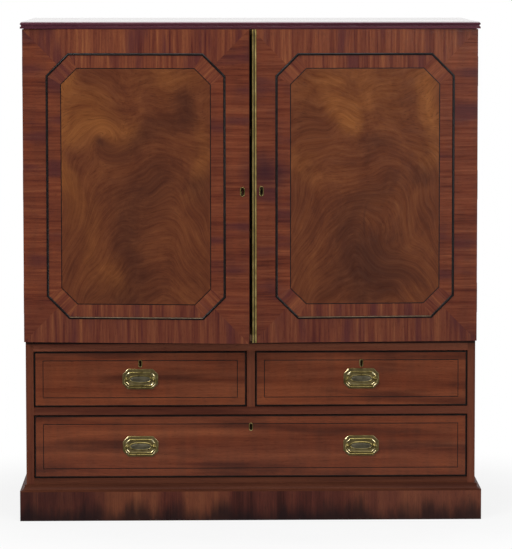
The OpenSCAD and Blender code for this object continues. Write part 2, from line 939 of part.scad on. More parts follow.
module left_door_bolt_guides() {
    color(brass) {
        at_ceiling() bolt_guides();
        at_floor() bolt_guides();
    }
}

module left_door_top_bolt() {
    color(brass) at_ceiling() slide_bolt();
}

module left_door_bottom_bolt() {
    color(brass) at_floor() slide_bolt();
}

module lock_box(grow) {
    block([door_x0 - grow, door_back - lock_t, door_lock_z - lock_h / 2],
          [door_x0 + lock_w, door_back + grow, door_lock_z + lock_h / 2]);
}

module right_door_frame() {
    color(mahogany) right_hung() door_frame() {
        lock_box(1);
        keyhole(right_key_x, door_lock_z, core_face, door_t - lock_t);
    }
}

module right_door_bands() {
    color(mahogany) right_hung() difference() {
        door_bands();
        plate_recess(right_key_x, door_lock_z, door_face, right_plate, veneer_t);
    }
}

module right_door_bead() {
    right_hung() door_bead();
}

module right_door_string() {
    right_hung() door_string();
}

module right_door_field() {
    right_hung() door_field();
}

// The brass strip along the free edge, with two beads
module right_door_strip() {
    color(brass) right_hung() difference() {
        union() {
            block([door_x0, door_face - strip_t, door_z0],
                  [door_x0 + strip_w, door_face, door_z1]);
            for (x = [strip_bead_r, strip_w - strip_bead_r])
                translate([door_x0 + x, door_face - strip_t, door_z0])
                    cylinder(r = strip_bead_r - eps, h = door_h);
        }
        block([0, door_face, door_z0 - 1], [strip_w + 2, door_face + strip_w, door_z1 + 1]);
    }
}

bolt_len = 34;
bolt_back = 0.3;

// The lock's case with the slot its bolt runs in, and the keyhole plate on the face
module right_door_lock() {
    color(brass) right_hung() {
        difference() {
            lock_box(0);
            block([door_x0 - 1, door_bolt_y - lock_bolt_t / 2 - lock_gap,
                   door_lock_z - lock_bolt_w / 2 - lock_gap],
                  [door_x0 + bolt_back + bolt_len + 1, door_bolt_y + lock_bolt_t / 2 + lock_gap,
                   door_lock_z + lock_bolt_w / 2 + lock_gap]);
        }
        keyhole_plate(right_key_x, door_lock_z, door_face, right_plate, veneer_t, veneer_t);
    }
}

module right_door_lock_bolt() {
    color(iron) right_hung()
        block([door_x0 + bolt_back, door_bolt_y - lock_bolt_t / 2,
               door_lock_z - lock_bolt_w / 2],
              [door_x0 + bolt_back + bolt_len, door_bolt_y + lock_bolt_t / 2,
               door_lock_z + lock_bolt_w / 2]);
}

module right_door_hinge_leaves() {
    color(brass) right_hung() at_hinges() hinge_leaf(1);
}

// Drawers: x is the opening's middle, z its foot, w its width and h its height

front_back = case_front + front_t;
tail_len = front_t - cock_d - tail_lap;
box_back = case_front + drawer_d;
tail_gap = 8;
tail_flare = 2;
drawer_lock_h = 40;
drawer_bolt_len = 24;
drawer_lock_x = 40;
nut_r = 5;
nut_t = 4;
shank_r = 2.4;
shank_gap = 0.1;

// The front's outline in X and Z, drawn in by k
module front_outline(x, z, w, h, k) {
    translate([x, z + h / 2])
        square([w - 2 * (drawer_gap + k), h - 2 * (drawer_gap + k)], center = true);
}

module front_slab(x, z, w, h, k, y, t) {
    front_plate(0, y, 0, t) front_outline(x, z, w, h, k);
}

module front_ring(x, z, w, h, k, width, y, t) {
    front_plate(0, y, 0, t) difference() {
        front_outline(x, z, w, h, k);
        front_outline(x, z, w, h, k + width);
    }
}

// Tails of one drawer side, widening towards the front
module dovetails(z, h) {
    low = z + drawer_lift;
    top = z + h - drawer_gap;
    pitch = (top - low) / tail_count;
    for (i = [0:tail_count - 1]) {
        mid = low + (i + 0.5) * pitch;
        base = pitch / 2 - tail_gap;
        tip = base + tail_flare;
        translate([0, front_back, mid]) rotate([90, 0, 90]) linear_extrude(drawer_side_t)
            polygon([[1, -base], [1, base], [0, base], [-tail_len, tip],
                     [-tail_len, -tip], [0, -base]]);
    }
}

// Children at the inner face of the drawer's left and right side
module at_drawer_sides(x, w) {
    for (s = [-1, 1])
        translate([x + s * (w / 2 - drawer_gap - drawer_side_t / 2) - drawer_side_t / 2, 0, 0])
            children();
}

// The drawer's bottom; grow widens it for the grooves that hold it
module bottom_slab(x, z, w, grow) {
    half = w / 2 - drawer_gap - drawer_side_t + bottom_groove + grow;
    low = z + drawer_lift + bottom_up;
    block([x - half, front_back - bottom_groove - grow, low - grow],
          [x + half, box_back + grow, low + drawer_bottom_t + grow]);
}

function lock_top(z, h) = z + h - drawer_gap;

module drawer_lock_box(x, z, h, grow) {
    top = lock_top(z, h);
    block([x - drawer_lock_x / 2, front_back - drawer_lock_t, top - drawer_lock_h],
          [x + drawer_lock_x / 2, front_back + grow, top + grow]);
}

module drawer_front(x, z, w, h, handles) {
    color(mahogany) difference() {
        front_slab(x, z, w, h, 0, front_back, front_t);
        front_ring(x, z, w, h, -1, cock_w + 1, case_front + cock_d, cock_d + 1);
        front_ring(x, z, w, h, drawer_string_in, drawer_string_w,
            case_front + veneer_t, veneer_t + 1);
        at_drawer_sides(x, w) dovetails(z, h);
        bottom_slab(x, z, w, 0);
        drawer_lock_box(x, z, h, 1);
        keyhole(x, lock_top(z, h) - drawer_keyhole_down, case_front, front_t - 1);
        plate_recess(x, lock_top(z, h) - drawer_keyhole_down, case_front, drawer_plate, veneer_t);
        for (hx = handles)
            for (s = [-1, 1])
                rod_y([hx + s * post_span / 2, case_front - 1, z + h / 2],
                    shank_r + shank_gap, front_t + 2);
    }
}

module drawer_box(x, z, w, h) {
    low = z + drawer_lift;
    top = z + h - drawer_gap;
    bottom_top = low + bottom_up + drawer_bottom_t;
    half = w / 2 - drawer_gap - drawer_side_t;
    color(oak) {
        difference() {
            at_drawer_sides(x, w) {
                block([0, front_back, low], [drawer_side_t, box_back, top]);
                dovetails(z, h);
            }
            bottom_slab(x, z, w, glue);
        }
        block([x - half + glue, box_back - drawer_back_t, bottom_top + glue],
              [x + half - glue, box_back, top - tail_gap]);
        bottom_slab(x, z, w, 0);
    }
}

// Cock bead and string
module drawer_inlay(x, z, w, h) {
    color(ebony) {
        front_ring(x, z, w, h, 0, cock_w, case_front + cock_d, cock_d + cock_out);
        difference() {
            front_ring(x, z, w, h, drawer_string_in, drawer_string_w,
                case_front + veneer_t, veneer_t);
            plate_recess(x, lock_top(z, h) - drawer_keyhole_down, case_front - 1,
                drawer_plate, veneer_t + 2);
        }
    }
}

bail_y = case_front - bail_out;
bore_r = pivot_r + run_gap;
bail_gap = 0.25;
bail_x = post_span / 2 + eye_w / 2 + bail_gap + bail_t / 2;
rim_in = 3;
rim_w = 3.5;
boss_in = 7;
boss_h = 20;
oval_in = 11;
oval_h = 13;

// The plate's outline, drawn in by k
function plate_outline(k) =
    canted(plate_w - 2 * k, plate_h - 2 * k, drawn_in(plate_cant, k));

// Plate, posts and nuts of one handle
module handle_plate(x, z) {
    front_plate(x, case_front, z, plate_t) polygon(canted(plate_w, plate_h, plate_cant));
    front_plate(x, case_front, z, plate_t + rim_t) ring(
        plate_outline(rim_in), plate_outline(rim_in + rim_w));
    front_plate(x, case_front, z, plate_t + rim_t / 2)
        polygon(canted(post_span - 2 * boss_in, boss_h, boss_h / 3));
    front_plate(x, case_front, z, plate_t + rim_t)
        polygon(canted(post_span - 2 * oval_in, oval_h, oval_h / 3));
    difference() {
        for (s = [-1, 1])
            translate([x + s * post_span / 2, 0, z]) {
                rod_y([0, bail_y, 0], shank_r, bail_out + front_t + nut_t);
                rod_x([-eye_w / 2, bail_y, 0], eye_r, eye_w);
                rod_y([0, front_back, 0], nut_r, nut_t, $fn = 6);
            }
        rod_x([x - post_span, bail_y, z], bore_r, 2 * post_span);
    }
}

// Handle plates, keyhole plate and lock case of one drawer
module drawer_brassware(x, z, h, handles) {
    bolt_w = lock_bolt_w / 2 + lock_gap;
    bolt_t = lock_bolt_t / 2 + lock_gap;
    top = lock_top(z, h);
    color(brass) {
        for (hx = handles) handle_plate(hx, z + h / 2);
        keyhole_plate(x, top - drawer_keyhole_down, case_front, drawer_plate, veneer_t, veneer_t);
        difference() {
            drawer_lock_box(x, z, h, 0);
            block([x - bolt_w, lock_y - bolt_t, top - bolt_back - drawer_bolt_len - 1],
                  [x + bolt_w, lock_y + bolt_t, top + 1]);
        }
    }
}

module drawer_lock_bolt(x, z, h) {
    top = lock_top(z, h) - bolt_back;
    color(iron) block([x - lock_bolt_w / 2, lock_y - lock_bolt_t / 2, top - drawer_bolt_len],
                      [x + lock_bolt_w / 2, lock_y + lock_bolt_t / 2, top]);
}

// A bail that hangs from its pivots; its outline is open at the top
module bail(x, z) {
    r = bail_t / 2;
    k = r * tan(22.5);
    low = -bail_drop;
    color(brass) {
        front_plate(x, bail_y + r, z, bail_t) polygon([
            [bail_x + r, r], [bail_x + r, low + bail_cant - k], [bail_x - bail_cant + k, low - r],
            [bail_cant - k - bail_x, low - r], [-bail_x - r, low + bail_cant - k],
            [-bail_x - r, r], [r - bail_x, r], [r - bail_x, low + bail_cant + k],
            [bail_cant + k - bail_x, low + r], [bail_x - bail_cant - k, low + r],
            [bail_x - r, low + bail_cant + k], [bail_x - r, r]
        ]);
        for (s = [-1, 1]) {
            inner = post_span / 2 - eye_w / 2 + 1;
            rod_x([x + (s > 0 ? inner : -bail_x), bail_y, z], pivot_r, bail_x - inner);
        }
    }
}

module left_drawer_front() {
    drawer_front(-small_x, z_small, small_w, small_opening_h, [-small_x]);
}

module left_drawer_box() {
    drawer_box(-small_x, z_small, small_w, small_opening_h);
}

module left_drawer_inlay() {
    drawer_inlay(-small_x, z_small, small_w, small_opening_h);
}

module left_drawer_brassware() {
    drawer_brassware(-small_x, z_small, small_opening_h, [-small_x]);
}

module left_drawer_lock_bolt() {
    drawer_lock_bolt(-small_x, z_small, small_opening_h);
}

module left_drawer_bail() {
    bail(-small_x, z_small + small_opening_h / 2);
}

module right_drawer_front() {
    drawer_front(small_x, z_small, small_w, small_opening_h, [small_x]);
}

module right_drawer_box() {
    drawer_box(small_x, z_small, small_w, small_opening_h);
}

module right_drawer_inlay() {
    drawer_inlay(small_x, z_small, small_w, small_opening_h);
}

module right_drawer_brassware() {
    drawer_brassware(small_x, z_small, small_opening_h, [small_x]);
}

module right_drawer_lock_bolt() {
    drawer_lock_bolt(small_x, z_small, small_opening_h);
}

module right_drawer_bail() {
    bail(small_x, z_small + small_opening_h / 2);
}

module long_drawer_front() {
    drawer_front(0, z_long, long_w, long_opening_h, [-handle_x, handle_x]);
}

module long_drawer_box() {
    drawer_box(0, z_long, long_w, long_opening_h);
}

module long_drawer_inlay() {
    drawer_inlay(0, z_long, long_w, long_opening_h);
}

module long_drawer_brassware() {
    drawer_brassware(0, z_long, long_opening_h, [-handle_x, handle_x]);
}

module long_drawer_lock_bolt() {
    drawer_lock_bolt(0, z_long, long_opening_h);
}

module long_drawer_left_bail() {
    bail(-handle_x, z_long + long_opening_h / 2);
}

module long_drawer_right_bail() {
    bail(handle_x, z_long + long_opening_h / 2);
}

top_board();
upper_sides();
inner_top();
upper_bottom();
back_boards();
shelves();
shelf_bearers();
lower_sides();
lower_top();
drawer_partition();
middle_rail();
bottom_board();
drawer_runners();
plinth_front();
plinth_sides();
plinth_back();
plinth_bearer();
plinth_blocks();
plinth_moulding();
case_hinge_leaves();
hinge_pins();
left_door_frame();
left_door_bands();
left_door_bead();
left_door_string();
left_door_field();
left_door_plates();
left_door_hinge_leaves();
left_door_bolt_guides();
left_door_top_bolt();
left_door_bottom_bolt();
right_door_frame();
right_door_bands();
right_door_bead();
right_door_string();
right_door_field();
right_door_strip();
right_door_lock();
right_door_hinge_leaves();
right_door_lock_bolt();
left_drawer_front();
left_drawer_box();
left_drawer_inlay();
left_drawer_brassware();
left_drawer_lock_bolt();
left_drawer_bail();
right_drawer_front();
right_drawer_box();
right_drawer_inlay();
right_drawer_brassware();
right_drawer_lock_bolt();
right_drawer_bail();
long_drawer_front();
long_drawer_box();
long_drawer_inlay();
long_drawer_brassware();
long_drawer_lock_bolt();
long_drawer_left_bail();
long_drawer_right_bail();
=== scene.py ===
"""Side cabinet: a cupboard with two panelled doors over three drawers on a moulded plinth.

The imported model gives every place. This file adds the finish, the fine brass and the studio.
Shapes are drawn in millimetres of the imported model's frame, and MM turns them to metres.
"""
import math

import bmesh
import bpy
from mathutils import Matrix, Vector


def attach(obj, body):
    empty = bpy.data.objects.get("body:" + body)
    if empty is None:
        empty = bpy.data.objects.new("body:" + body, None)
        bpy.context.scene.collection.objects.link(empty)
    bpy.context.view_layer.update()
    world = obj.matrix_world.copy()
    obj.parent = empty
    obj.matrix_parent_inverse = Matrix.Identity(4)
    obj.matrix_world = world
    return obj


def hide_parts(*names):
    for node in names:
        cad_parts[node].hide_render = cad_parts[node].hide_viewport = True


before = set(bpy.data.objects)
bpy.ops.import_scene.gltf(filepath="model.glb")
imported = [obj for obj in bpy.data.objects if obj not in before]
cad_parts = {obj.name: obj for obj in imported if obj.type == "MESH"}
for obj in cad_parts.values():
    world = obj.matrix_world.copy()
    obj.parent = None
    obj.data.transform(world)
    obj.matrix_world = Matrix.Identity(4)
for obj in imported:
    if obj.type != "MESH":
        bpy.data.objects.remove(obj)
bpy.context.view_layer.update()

MM = 0.001
SQRT2 = math.sqrt(2)

# Case: its front, the back's boards, and the height of the seam between the stages
CASE_FRONT = -252.0
HALF_INNER_W = 564.0
CASE_Z0, SPLIT_Z = 76.0, 468.0
BACK_BOARD_W, BACK_BOARD_H = HALF_INNER_W / 2, (SPLIT_Z - CASE_Z0) / 2
# Painted shadow line under the upper stage: the height above which it is full, and the height of
# its fade
SEAM_SHADOW_Z, SEAM_SHADOW_FADE = 462.0, 3.0

# Doors: where the closed ones stand in the case, and what is drawn on one from its middle
HALF_W = 584.0
PIN_X, PIN_Y = 585.0, -252.5
# Half of the gap between the doors
MEETING = 0.75
DOOR_Z0, DOOR_Z1 = 470.0, 1277.5
DOOR_W, DOOR_H = HALF_W - MEETING, DOOR_Z1 - DOOR_Z0
DOOR_CX, DOOR_CZ = MEETING + DOOR_W / 2, (DOOR_Z0 + DOOR_Z1) / 2
FACE_Y = -277.0
VENEER = 1.0
LEFT_AJAR, RIGHT_AJAR = 5.0, 3.0
# The bead's middle line: how far inside the door's sides and ends, and its canted corners
BEAD_IN, BEAD_IN_END, BEAD_CANT = 63.0, 64.0, 56.0
BEAD_W, BEAD_FLANK, BEAD_SHOULDER, BEAD_RISE = 6.0, 0.7, 0.5, 1.5
# The lit part of its bottom run: how far above its middle line and out of the door's face, and
# how near to the door's middle the middle of the run's faces lies
BEAD_LIT, BEAD_LIT_OUT, RUN_MIDDLE = 0.8, 0.9, 20.0
STRING_IN, STRING_CANT, STRING_W, STRING_OUT = 36.0, 41.0, 2.2, 0.05
KEYHOLE_Z = 862.0 - DOOR_CZ
LEFT_KEYHOLE_X, RIGHT_KEYHOLE_X = 17.75, 24.75
LEFT_PLATE, RIGHT_PLATE, PLATE_LAP = (12.0, 24.5), (11.6, 26.0), 0.3
STRIP_W, STRIP_T, STRIP_BEAD = 11.0, 1.2, 1.8
STRIP_EDGE, STRIP_LOW, STRIP_SHORT = 0.15, 0.05, 0.3
# Where each veneer's grain is taken from
LEFT_SEED, RIGHT_SEED = 3.1, 41.3
MARGIN_STEP, BAND_START, BAND_STEP = 2.3, 11.7, 1.9

# Handles and keyholes: their middles on the drawer fronts, and their sizes
SMALL_X, LONG_X = 287.25, 287.0
SMALL_Z, LONG_Z = 369.0, 192.75
SMALL_KEYHOLE_Z, LONG_KEYHOLE_Z = 409.25, 242.75
DRAWER_PLATE = (10.0, 21.0)
PLATE_W, PLATE_H, PLATE_CANT = 92.0, 53.0, 14.0
BOSS_W, BOSS_H, BOSS_POINTS, BOSS_FLAT_X, BOSS_FLAT_Z = 59.0, 21.0, 48, 0.72, 0.86
BAIL_OUT, BAIL_X, BAIL_DROP, BAIL_CANT = 8.0, 40.55, 21.0, 10.5
BAIL_R, BEND_R, BEND, BEND_EASE, CANT_RUN = 1.8, 1.85, 1.2, 0.35, 1.5
DRAWERS = (("left", (-SMALL_X,), SMALL_Z, SMALL_KEYHOLE_Z),
           ("right", (SMALL_X,), SMALL_Z, SMALL_KEYHOLE_Z),
           ("long", (-LONG_X, LONG_X), LONG_Z, LONG_KEYHOLE_Z))
BAILS = (("left_drawer_bail", -SMALL_X, SMALL_Z), ("right_drawer_bail", SMALL_X, SMALL_Z),
         ("long_drawer_left_bail", -LONG_X, LONG_Z), ("long_drawer_right_bail", LONG_X, LONG_Z))

# Steps of the brass: how far drawn in, how far out, and the material
RIM_STEPS = ((0.0, 0.0), (0.0, 0.5), (0.3, 0.75), (1.5, 0.8), (1.9, 0.6), (2.0, 0.3))
BRASS, PATINA, WORN_HIGHLIGHT, GREY = range(4)
PLATE_STEPS = (
    (0.0, 0.0, PATINA), (0.0, 0.7, PATINA), (0.5, 1.0, BRASS), (3.6, 1.2, PATINA),
    (4.2, 1.0, PATINA), (7.6, 1.2, PATINA), (8.4, 1.9, BRASS), (9.2, 2.3, BRASS),
    (10.2, 2.4, BRASS), (11.2, 2.0, BRASS), (12.0, 1.4, PATINA), (12.6, 1.2, PATINA))
BOSS_STEPS = (
    (0.0, 1.0, PATINA), (0.0, 1.6, PATINA), (0.8, 2.3, BRASS), (1.8, 2.6, BRASS),
    (2.8, 2.3, BRASS), (3.6, 1.7, GREY), (4.4, 1.5, GREY), (5.0, 1.9, GREY),
    (6.0, 2.4, GREY), (7.5, 2.7, GREY))

# Posts: how far out of the drawer front, and the radius
POST_X = 35.0
POST_FOOT = ((1.0, 5.0), (2.0, 5.0), (2.6, 4.3), (3.2, 3.1), (4.2, 2.7), (5.0, 3.2))
POST_EYE_R, POST_EYE_TIP = 3.8, 0.02
POST_EYE_FROM, POST_EYE_TO, POST_EYE_STEPS = -50, 90, 6
NUT = ((-20.0, 5.0), (-23.5, 5.0), (-24.0, 5.0))
ROD = ((-24.5, 2.3), (1.0, 2.3))

# Arrises of the model's parts, and the distance in metres under which its points are one
ARRIS_STEPS, ARRIS_ANGLE, BRASS_ARRIS, WELD = 2, 40.0, 0.25, 0.000001

# Tones of the woods from dark to light, as read off a screen
RED_TONES = ((60, 26, 17), (88, 43, 27), (103, 54, 33), (122, 68, 40))
FOOT_TONES = ((46, 21, 15), (64, 32, 21), (76, 40, 26), (92, 52, 32))
BASE_TONES = ((50, 23, 16), (72, 37, 24), (88, 47, 30), (106, 61, 38))
RAIL_TONES = ((60, 27, 19), (84, 42, 28), (97, 52, 34), (110, 62, 40))
# Rail tones painted lighter: painted light on the rail under the doors
LIT_RAIL_TONES = ((74, 35, 27), (102, 54, 38), (117, 65, 44), (132, 78, 52))
CROSS_TONES = ((70, 30, 27), (94, 46, 32), (111, 59, 37), (132, 78, 45))
STILE_TONES = ((62, 27, 22), (88, 42, 28), (102, 52, 33), (120, 67, 41))
FIELD_TONES = ((66, 33, 22), (84, 43, 26), (98, 53, 30), (118, 69, 35))
GOLDEN_TONES, CLOUD_TONES = ((98, 52, 27), (140, 86, 40)), ((54, 27, 20), (78, 42, 28))
TOP_TONES = ((52, 24, 34), (70, 34, 44), (84, 44, 54), (104, 62, 68))
TOP_FACE_TONES = ((60, 27, 20), (82, 40, 28), (96, 50, 34), (112, 62, 42))
PLINTH_TONES = ((40, 17, 15), (74, 34, 26), (98, 52, 33), (116, 66, 40))
PLAIN_TONES = ((116, 82, 54), (146, 110, 76), (170, 134, 96))
UPRIGHT_TONES = ((104, 72, 48), (134, 98, 68), (158, 122, 88))
# Single tones that are mixed in
PORE_TONE, MOTTLE_TONE = (34, 14, 9), (255, 225, 190)
# The first tone darkens the doors: painted shade towards their foot, and dirt above the keyhole
# The second tone is a painted shadow line under the upper stage
SHADE_AND_DIRT_TONE, SEAM_SHADOW_TONE = (46, 22, 30), (20, 12, 11)
PLINTH_PALE, PLINTH_DARK = (116, 68, 48), (22, 15, 17)
PLAIN_PORE_TONE, OLD_BOARD_TONE = (70, 46, 26), (84, 56, 36)
CROSS_STAIN, STILE_STAIN, DRAWER_STAIN = (76, 36, 36), (66, 32, 34), (56, 27, 20)

# Metals: name, tones, roughness, stain and how metallic
METALS = {
    "brass": ("brass", ((128, 112, 62), (150, 134, 80), (172, 157, 106)), 0.30,
              (104, 84, 44), 0.9),
    # Pale brass of the canted edges: wear, with a painted highlight
    "worn_highlight_brass": ("brass_worn_highlight", ((206, 190, 140), (226, 210, 162), (236, 224, 182)), 0.22,
                   (150, 130, 84), 1.0),
    "strip_brass": ("brass_strip", ((142, 124, 64), (164, 144, 80), (186, 166, 104)), 0.40,
                    (104, 88, 44), 0.5),
    "groove_brass": ("brass_groove", ((62, 50, 22), (74, 62, 28), (88, 74, 36)), 0.50,
                     (44, 34, 16), 0.3),
    "patina": ("brass_patina", ((80, 68, 34), (96, 82, 43), (108, 96, 57)), 0.46,
               (64, 50, 28), 0.4),
    "grey_patina": ("brass_grey_patina", ((72, 66, 48), (86, 80, 60), (98, 90, 70)), 0.42,
                    (52, 46, 34), 0.4),
    "dark_brass": ("brass_recess", ((40, 32, 22), (56, 46, 32), (76, 66, 48)), 0.40,
                   (30, 22, 14), 1.0),
    "iron": ("iron", ((70, 66, 62), (96, 92, 88), (120, 116, 110)), 0.4, (52, 38, 28), 1.0),
}

# Figure of the two fields, from the panel's middle: eyes are x, z, radius and pull in degrees;
# golden and dark clouds are x, z, the radii in x and z, the turn and the amount
LEFT_FIGURE = {
    "middle": 30.0, "shift": 5.0, "eyes": ((-70, 125, 60, 130), (60, -110, 110, -50)),
    "golden": ((-112, 165, 85, 90, 0, 0.9), (-170, 220, 60, 130, 0, 0.8),
               (-176, 20, 45, 150, 0, 0.7), (-40, 150, 80, 60, 0, 0.5),
               (100, 268, 120, 70, 0, 0.5), (155, 80, 45, 170, 0, 0.5),
               (-60, -220, 60, 80, 0, 0.5), (-120, -110, 60, 160, 10, 0.3)),
    "dark": ((128, 210, 50, 45, 0, 0.7), (20, 145, 180, 55, 27, 0.65),
             (10, -10, 150, 150, 0, 0.55), (160, -10, 80, 90, 0, 0.7),
             (10, -150, 90, 230, 0, 0.7), (-30, -275, 130, 90, 0, 0.6),
             (-77, 112, 16, 22, 30, 0.8))}
RIGHT_FIGURE = {
    "middle": -10.0, "shift": 9.0, "eyes": ((-90, 170, 90, -70), (40, -120, 120, 50)),
    "golden": ((-48, 190, 45, 75, 0, 1.0), (-94, 212, 50, 75, 0, 0.7),
               (-10, 240, 240, 100, 0, 0.45), (168, 215, 60, 130, 0, 0.85),
               (150, 90, 55, 90, 0, 0.6), (-150, 60, 70, 90, 0, 0.4)),
    "dark": ((15, 118, 80, 50, 0, 0.55), (28, -190, 150, 150, 0, 0.9),
             (-30, -85, 90, 90, 0, 0.6), (20, -30, 90, 80, 0, 0.6),
             (0, -240, 190, 120, 0, 0.5), (34, -95, 7, 120, 0, 0.6),
             (140, 15, 90, 70, 0, 0.45))}
EYE_STRETCH = 1.3
# Arch of the ripples low and high on the panel: the height in millimetres and the curve
ARCH_LOW, ARCH_HIGH = (-100.0, 5.0), (280.0, -1.6)

# Scales of the patterns, along the grain and across it
FLOW_SCALE, PORE_SCALE, MOTTLE_SCALE = (1.6, 7.0, 7.0), (70.0, 1300.0, 1300.0), (38.0, 9.0, 9.0)
FINE_SCALE = 420.0
SCRATCH_SCALE = (2600.0, 900.0, 500.0)
BEND_SCALE, CLOUD_SCALE = (5.0, 3.4, 1.0), (10.0, 7.0, 1.0)
FIGURE_BEND, PATCH_BEND = (0.20, 0.17, 0.0), (0.22, 0.22, 0.0)
WANDER_SCALE, EBONY_SCALE, BLOTCH_SCALE, DULL_SCALE = (16.0, 16.0, 4.0), 90.0, 70.0, 320.0
# Most values of a noise lie between these two
NOISE_LOW, NOISE_HIGH = 0.3, 0.7
GRAIN_TURN = {"UV": (0.0, 0.0, 0.0), "X": (0.0, 0.0, 0.0), "Y": (0.0, 0.0, -math.pi / 2),
              "Z": (0.0, math.pi / 2, 0.0)}

# Shares of the tones that are mixed in
PORE_SHARE, PLAIN_PORE_SHARE, STAIN_SHARE, SEAM_SHADOW_SHARE = 0.45, 0.4, 0.75, 0.85
METAL_STAIN_SHARE, OLD_BOARD_SHARE = 0.25, 0.35
# Doors: heights of the fade of the painted shade towards their foot, and the patch of dirt above
# the keyhole as x, z and radii
FOOT_SHADE_FADE, FOOT_SHADE_SHARE = (600.0, 530.0), 0.17
DIRT_PATCH, DIRT_LOCK = (36, 912, 90, 80), 0.85
# Plinth, in millimetres: height and unevenness of the painted shade at its foot, and where its left
# end turns dark and its right end pale
PLINTH_SHADE_HEIGHT, PLINTH_WANDER, PLINTH_SHADE_SHARE = 62.0, (-26.0, 30.0), 0.85
PLINTH_LEFT, PLINTH_LEFT_SHARE = (-220.0, -560.0), 0.34
PLINTH_RIGHT, PLINTH_RIGHT_SHARE = (150.0, 500.0), 0.3
# Back boards: number of the first level one, a step that spreads their values, and how far the
# grain jumps from one to another
LEVEL_BOARDS, SPREAD_STEP, BOARD_JUMP = 6.0, 0.618, 7.0

# Studio, in metres: lamps are name, place, aim, size and power
FLOOR_X, FLOOR_Y0, FLOOR_Y1 = 2.2, -1.5, 1.7
FLOOR_TONES, FLOOR_MIRRORED = ((190, 190, 190), (198, 198, 198)), (84, 82, 80)
# The floor's plain white: distance and share near the object and far from it, measured as an
# oval, and the places behind the object between which it grows in mirrors
FLOOR_NEAR, FLOOR_FAR, FLOOR_OVAL = (0.55, 0.85), (1.15, 1.0), (0.8, 1.2, 1.0)
FLOOR_MIRROR_Y = (0.0, 0.8)
SKY_LIGHT, SKY_SEEN = (0.52, 0.52, 0.53, 1), (1, 1, 1, 1)
# What mirrors see of the sky, by the backward part of their direction
SKY_FRONT, SKY_BACK = (-0.88, 0.03), (0.1, 0.92)
LAMPS = (("key", (-3.4, -5.2, 4.2), (0.0, -0.2, 0.7), 2.6, 215.0),
         ("fill", (3.6, -6.4, 1.9), (0.2, -0.2, 0.8), 2.2, 112.0),
         ("top", (0.3, -1.2, 4.4), (0.0, 0.0, 1.0), 2.4, 85.0))
CAMERA_PLACE, CAMERA_DOWN, CAMERA_TURN = (-0.093, -7.835, 1.451), 4.49, -1.45
SENSOR, LENS, CAMERA_SHIFT = 36.0, 192.8, (-0.06, -0.15)


# ---------------------------------------------------------------- materials

class Nodes:
    """Adds shader nodes to a tree; values and sockets are both taken as inputs."""

    def __init__(self, tree):
        self.tree = tree

    def put(self, socket, value):
        if isinstance(value, bpy.types.NodeSocket):
            self.tree.links.new(value, socket)
        else:
            socket.default_value = value

    def node(self, kind, inputs, **settings):
        """A new node; inputs are given by their name or number."""
        node = self.tree.nodes.new("ShaderNode" + kind)
        for key, value in settings.items():
            setattr(node, key, value)
        for key, value in inputs.items():
            self.put(node.inputs[key], value)
        return node

    def add(self, kind, *inputs, out=0, **settings):
        """One output of a new node; inputs are given in their order."""
        return self.node(kind, dict(enumerate(inputs)), **settings).outputs[out]

    def axes(self, place, names):
        """The named coordinates of a place."""
        node = self.node("SeparateXYZ", {0: place})
        return [node.outputs[name] for name in names]

    def math(self, operation, *inputs):
        return self.add("Math", *inputs, operation=operation)

    def vector(self, operation, *inputs):
        return self.add("VectorMath", *inputs, operation=operation)

    def length(self, place):
        return self.add("VectorMath", place, operation="LENGTH", out="Value")

    def remap(self, value, low, high, to_low=0.0, to_high=1.0, smooth=False):
        return self.add("MapRange", value, low, high, to_low, to_high,
                        interpolation_type="SMOOTHSTEP" if smooth else "LINEAR")

    def noise(self, place, scale=1.0, detail=2.0, rough=0.5, colour=False):
        inputs = {"Vector": place, "Scale": scale, "Detail": detail, "Roughness": rough}
        return self.node("TexNoise", inputs).outputs[1 if colour else 0]

    def blend(self, amount, a, b, mode="MIX"):
        """A mix of two colours in linear values."""
        inputs = {0: amount, 6: a, 7: b}
        return self.node("Mix", inputs, data_type="RGBA", blend_type=mode).outputs[2]

    def mix(self, amount, a, b, mode="MIX"):
        """A mix of two colours as read off a screen."""
        a, b = (rgba(value) if isinstance(value, tuple) else value for value in (a, b))
        return self.blend(amount, a, b, mode)

    def ramp(self, value, places, tones):
        node = self.node("ValToRGB", {0: value})
        elements = node.color_ramp.elements
        elements[0].position, elements[1].position = places[0], places[-1]
        for place in places[1:-1]:
            elements.new(place)
        for element, tone in zip(elements, tones):
            element.color = rgba(tone)
        return node.outputs[0]


class Graph(Nodes):
    """The nodes of one new material."""

    def __init__(self, name):
        self.material = bpy.data.materials.new(name)
        self.material.use_nodes = True
        super().__init__(self.material.node_tree)
        self.shader = self.tree.nodes["Principled BSDF"]

    def own(self):
        """The object's own coordinates, in metres."""
        return self.add("TexCoord", out="Object")

    def finish(self, colour, roughness, bump=None, depth=0.0, strength=0.0, **values):
        """Links the pattern to the shader and sets its plain values."""
        self.put(self.shader.inputs["Base Color"], colour)
        self.put(self.shader.inputs["Roughness"], roughness)
        if bump is not None:
            node = self.node("Bump", {"Strength": strength, "Distance": depth, "Height": bump})
            self.put(self.shader.inputs["Normal"], node.outputs[0])
        for key, value in values.items():
            self.shader.inputs[key.replace("_", " ")].default_value = value
        return self.material


def rgba(colour):
    """A colour as read off a screen, from 0 to 255, in the renderer's linear values."""
    def linear(c):
        c /= 255
        return c / 12.92 if c <= 0.04045 else ((c + 0.055) / 1.055) ** 2.4
    return tuple(linear(c) for c in colour) + (1.0,)


def grain_place(g, along, shift):
    """Coordinates whose first axis runs along the grain: of the object's own axis or its UV map."""
    source = g.add("TexCoord", out="UV" if along == "UV" else "Object")
    return g.add("Mapping", source, (shift, shift, 0.0), GRAIN_TURN[along])


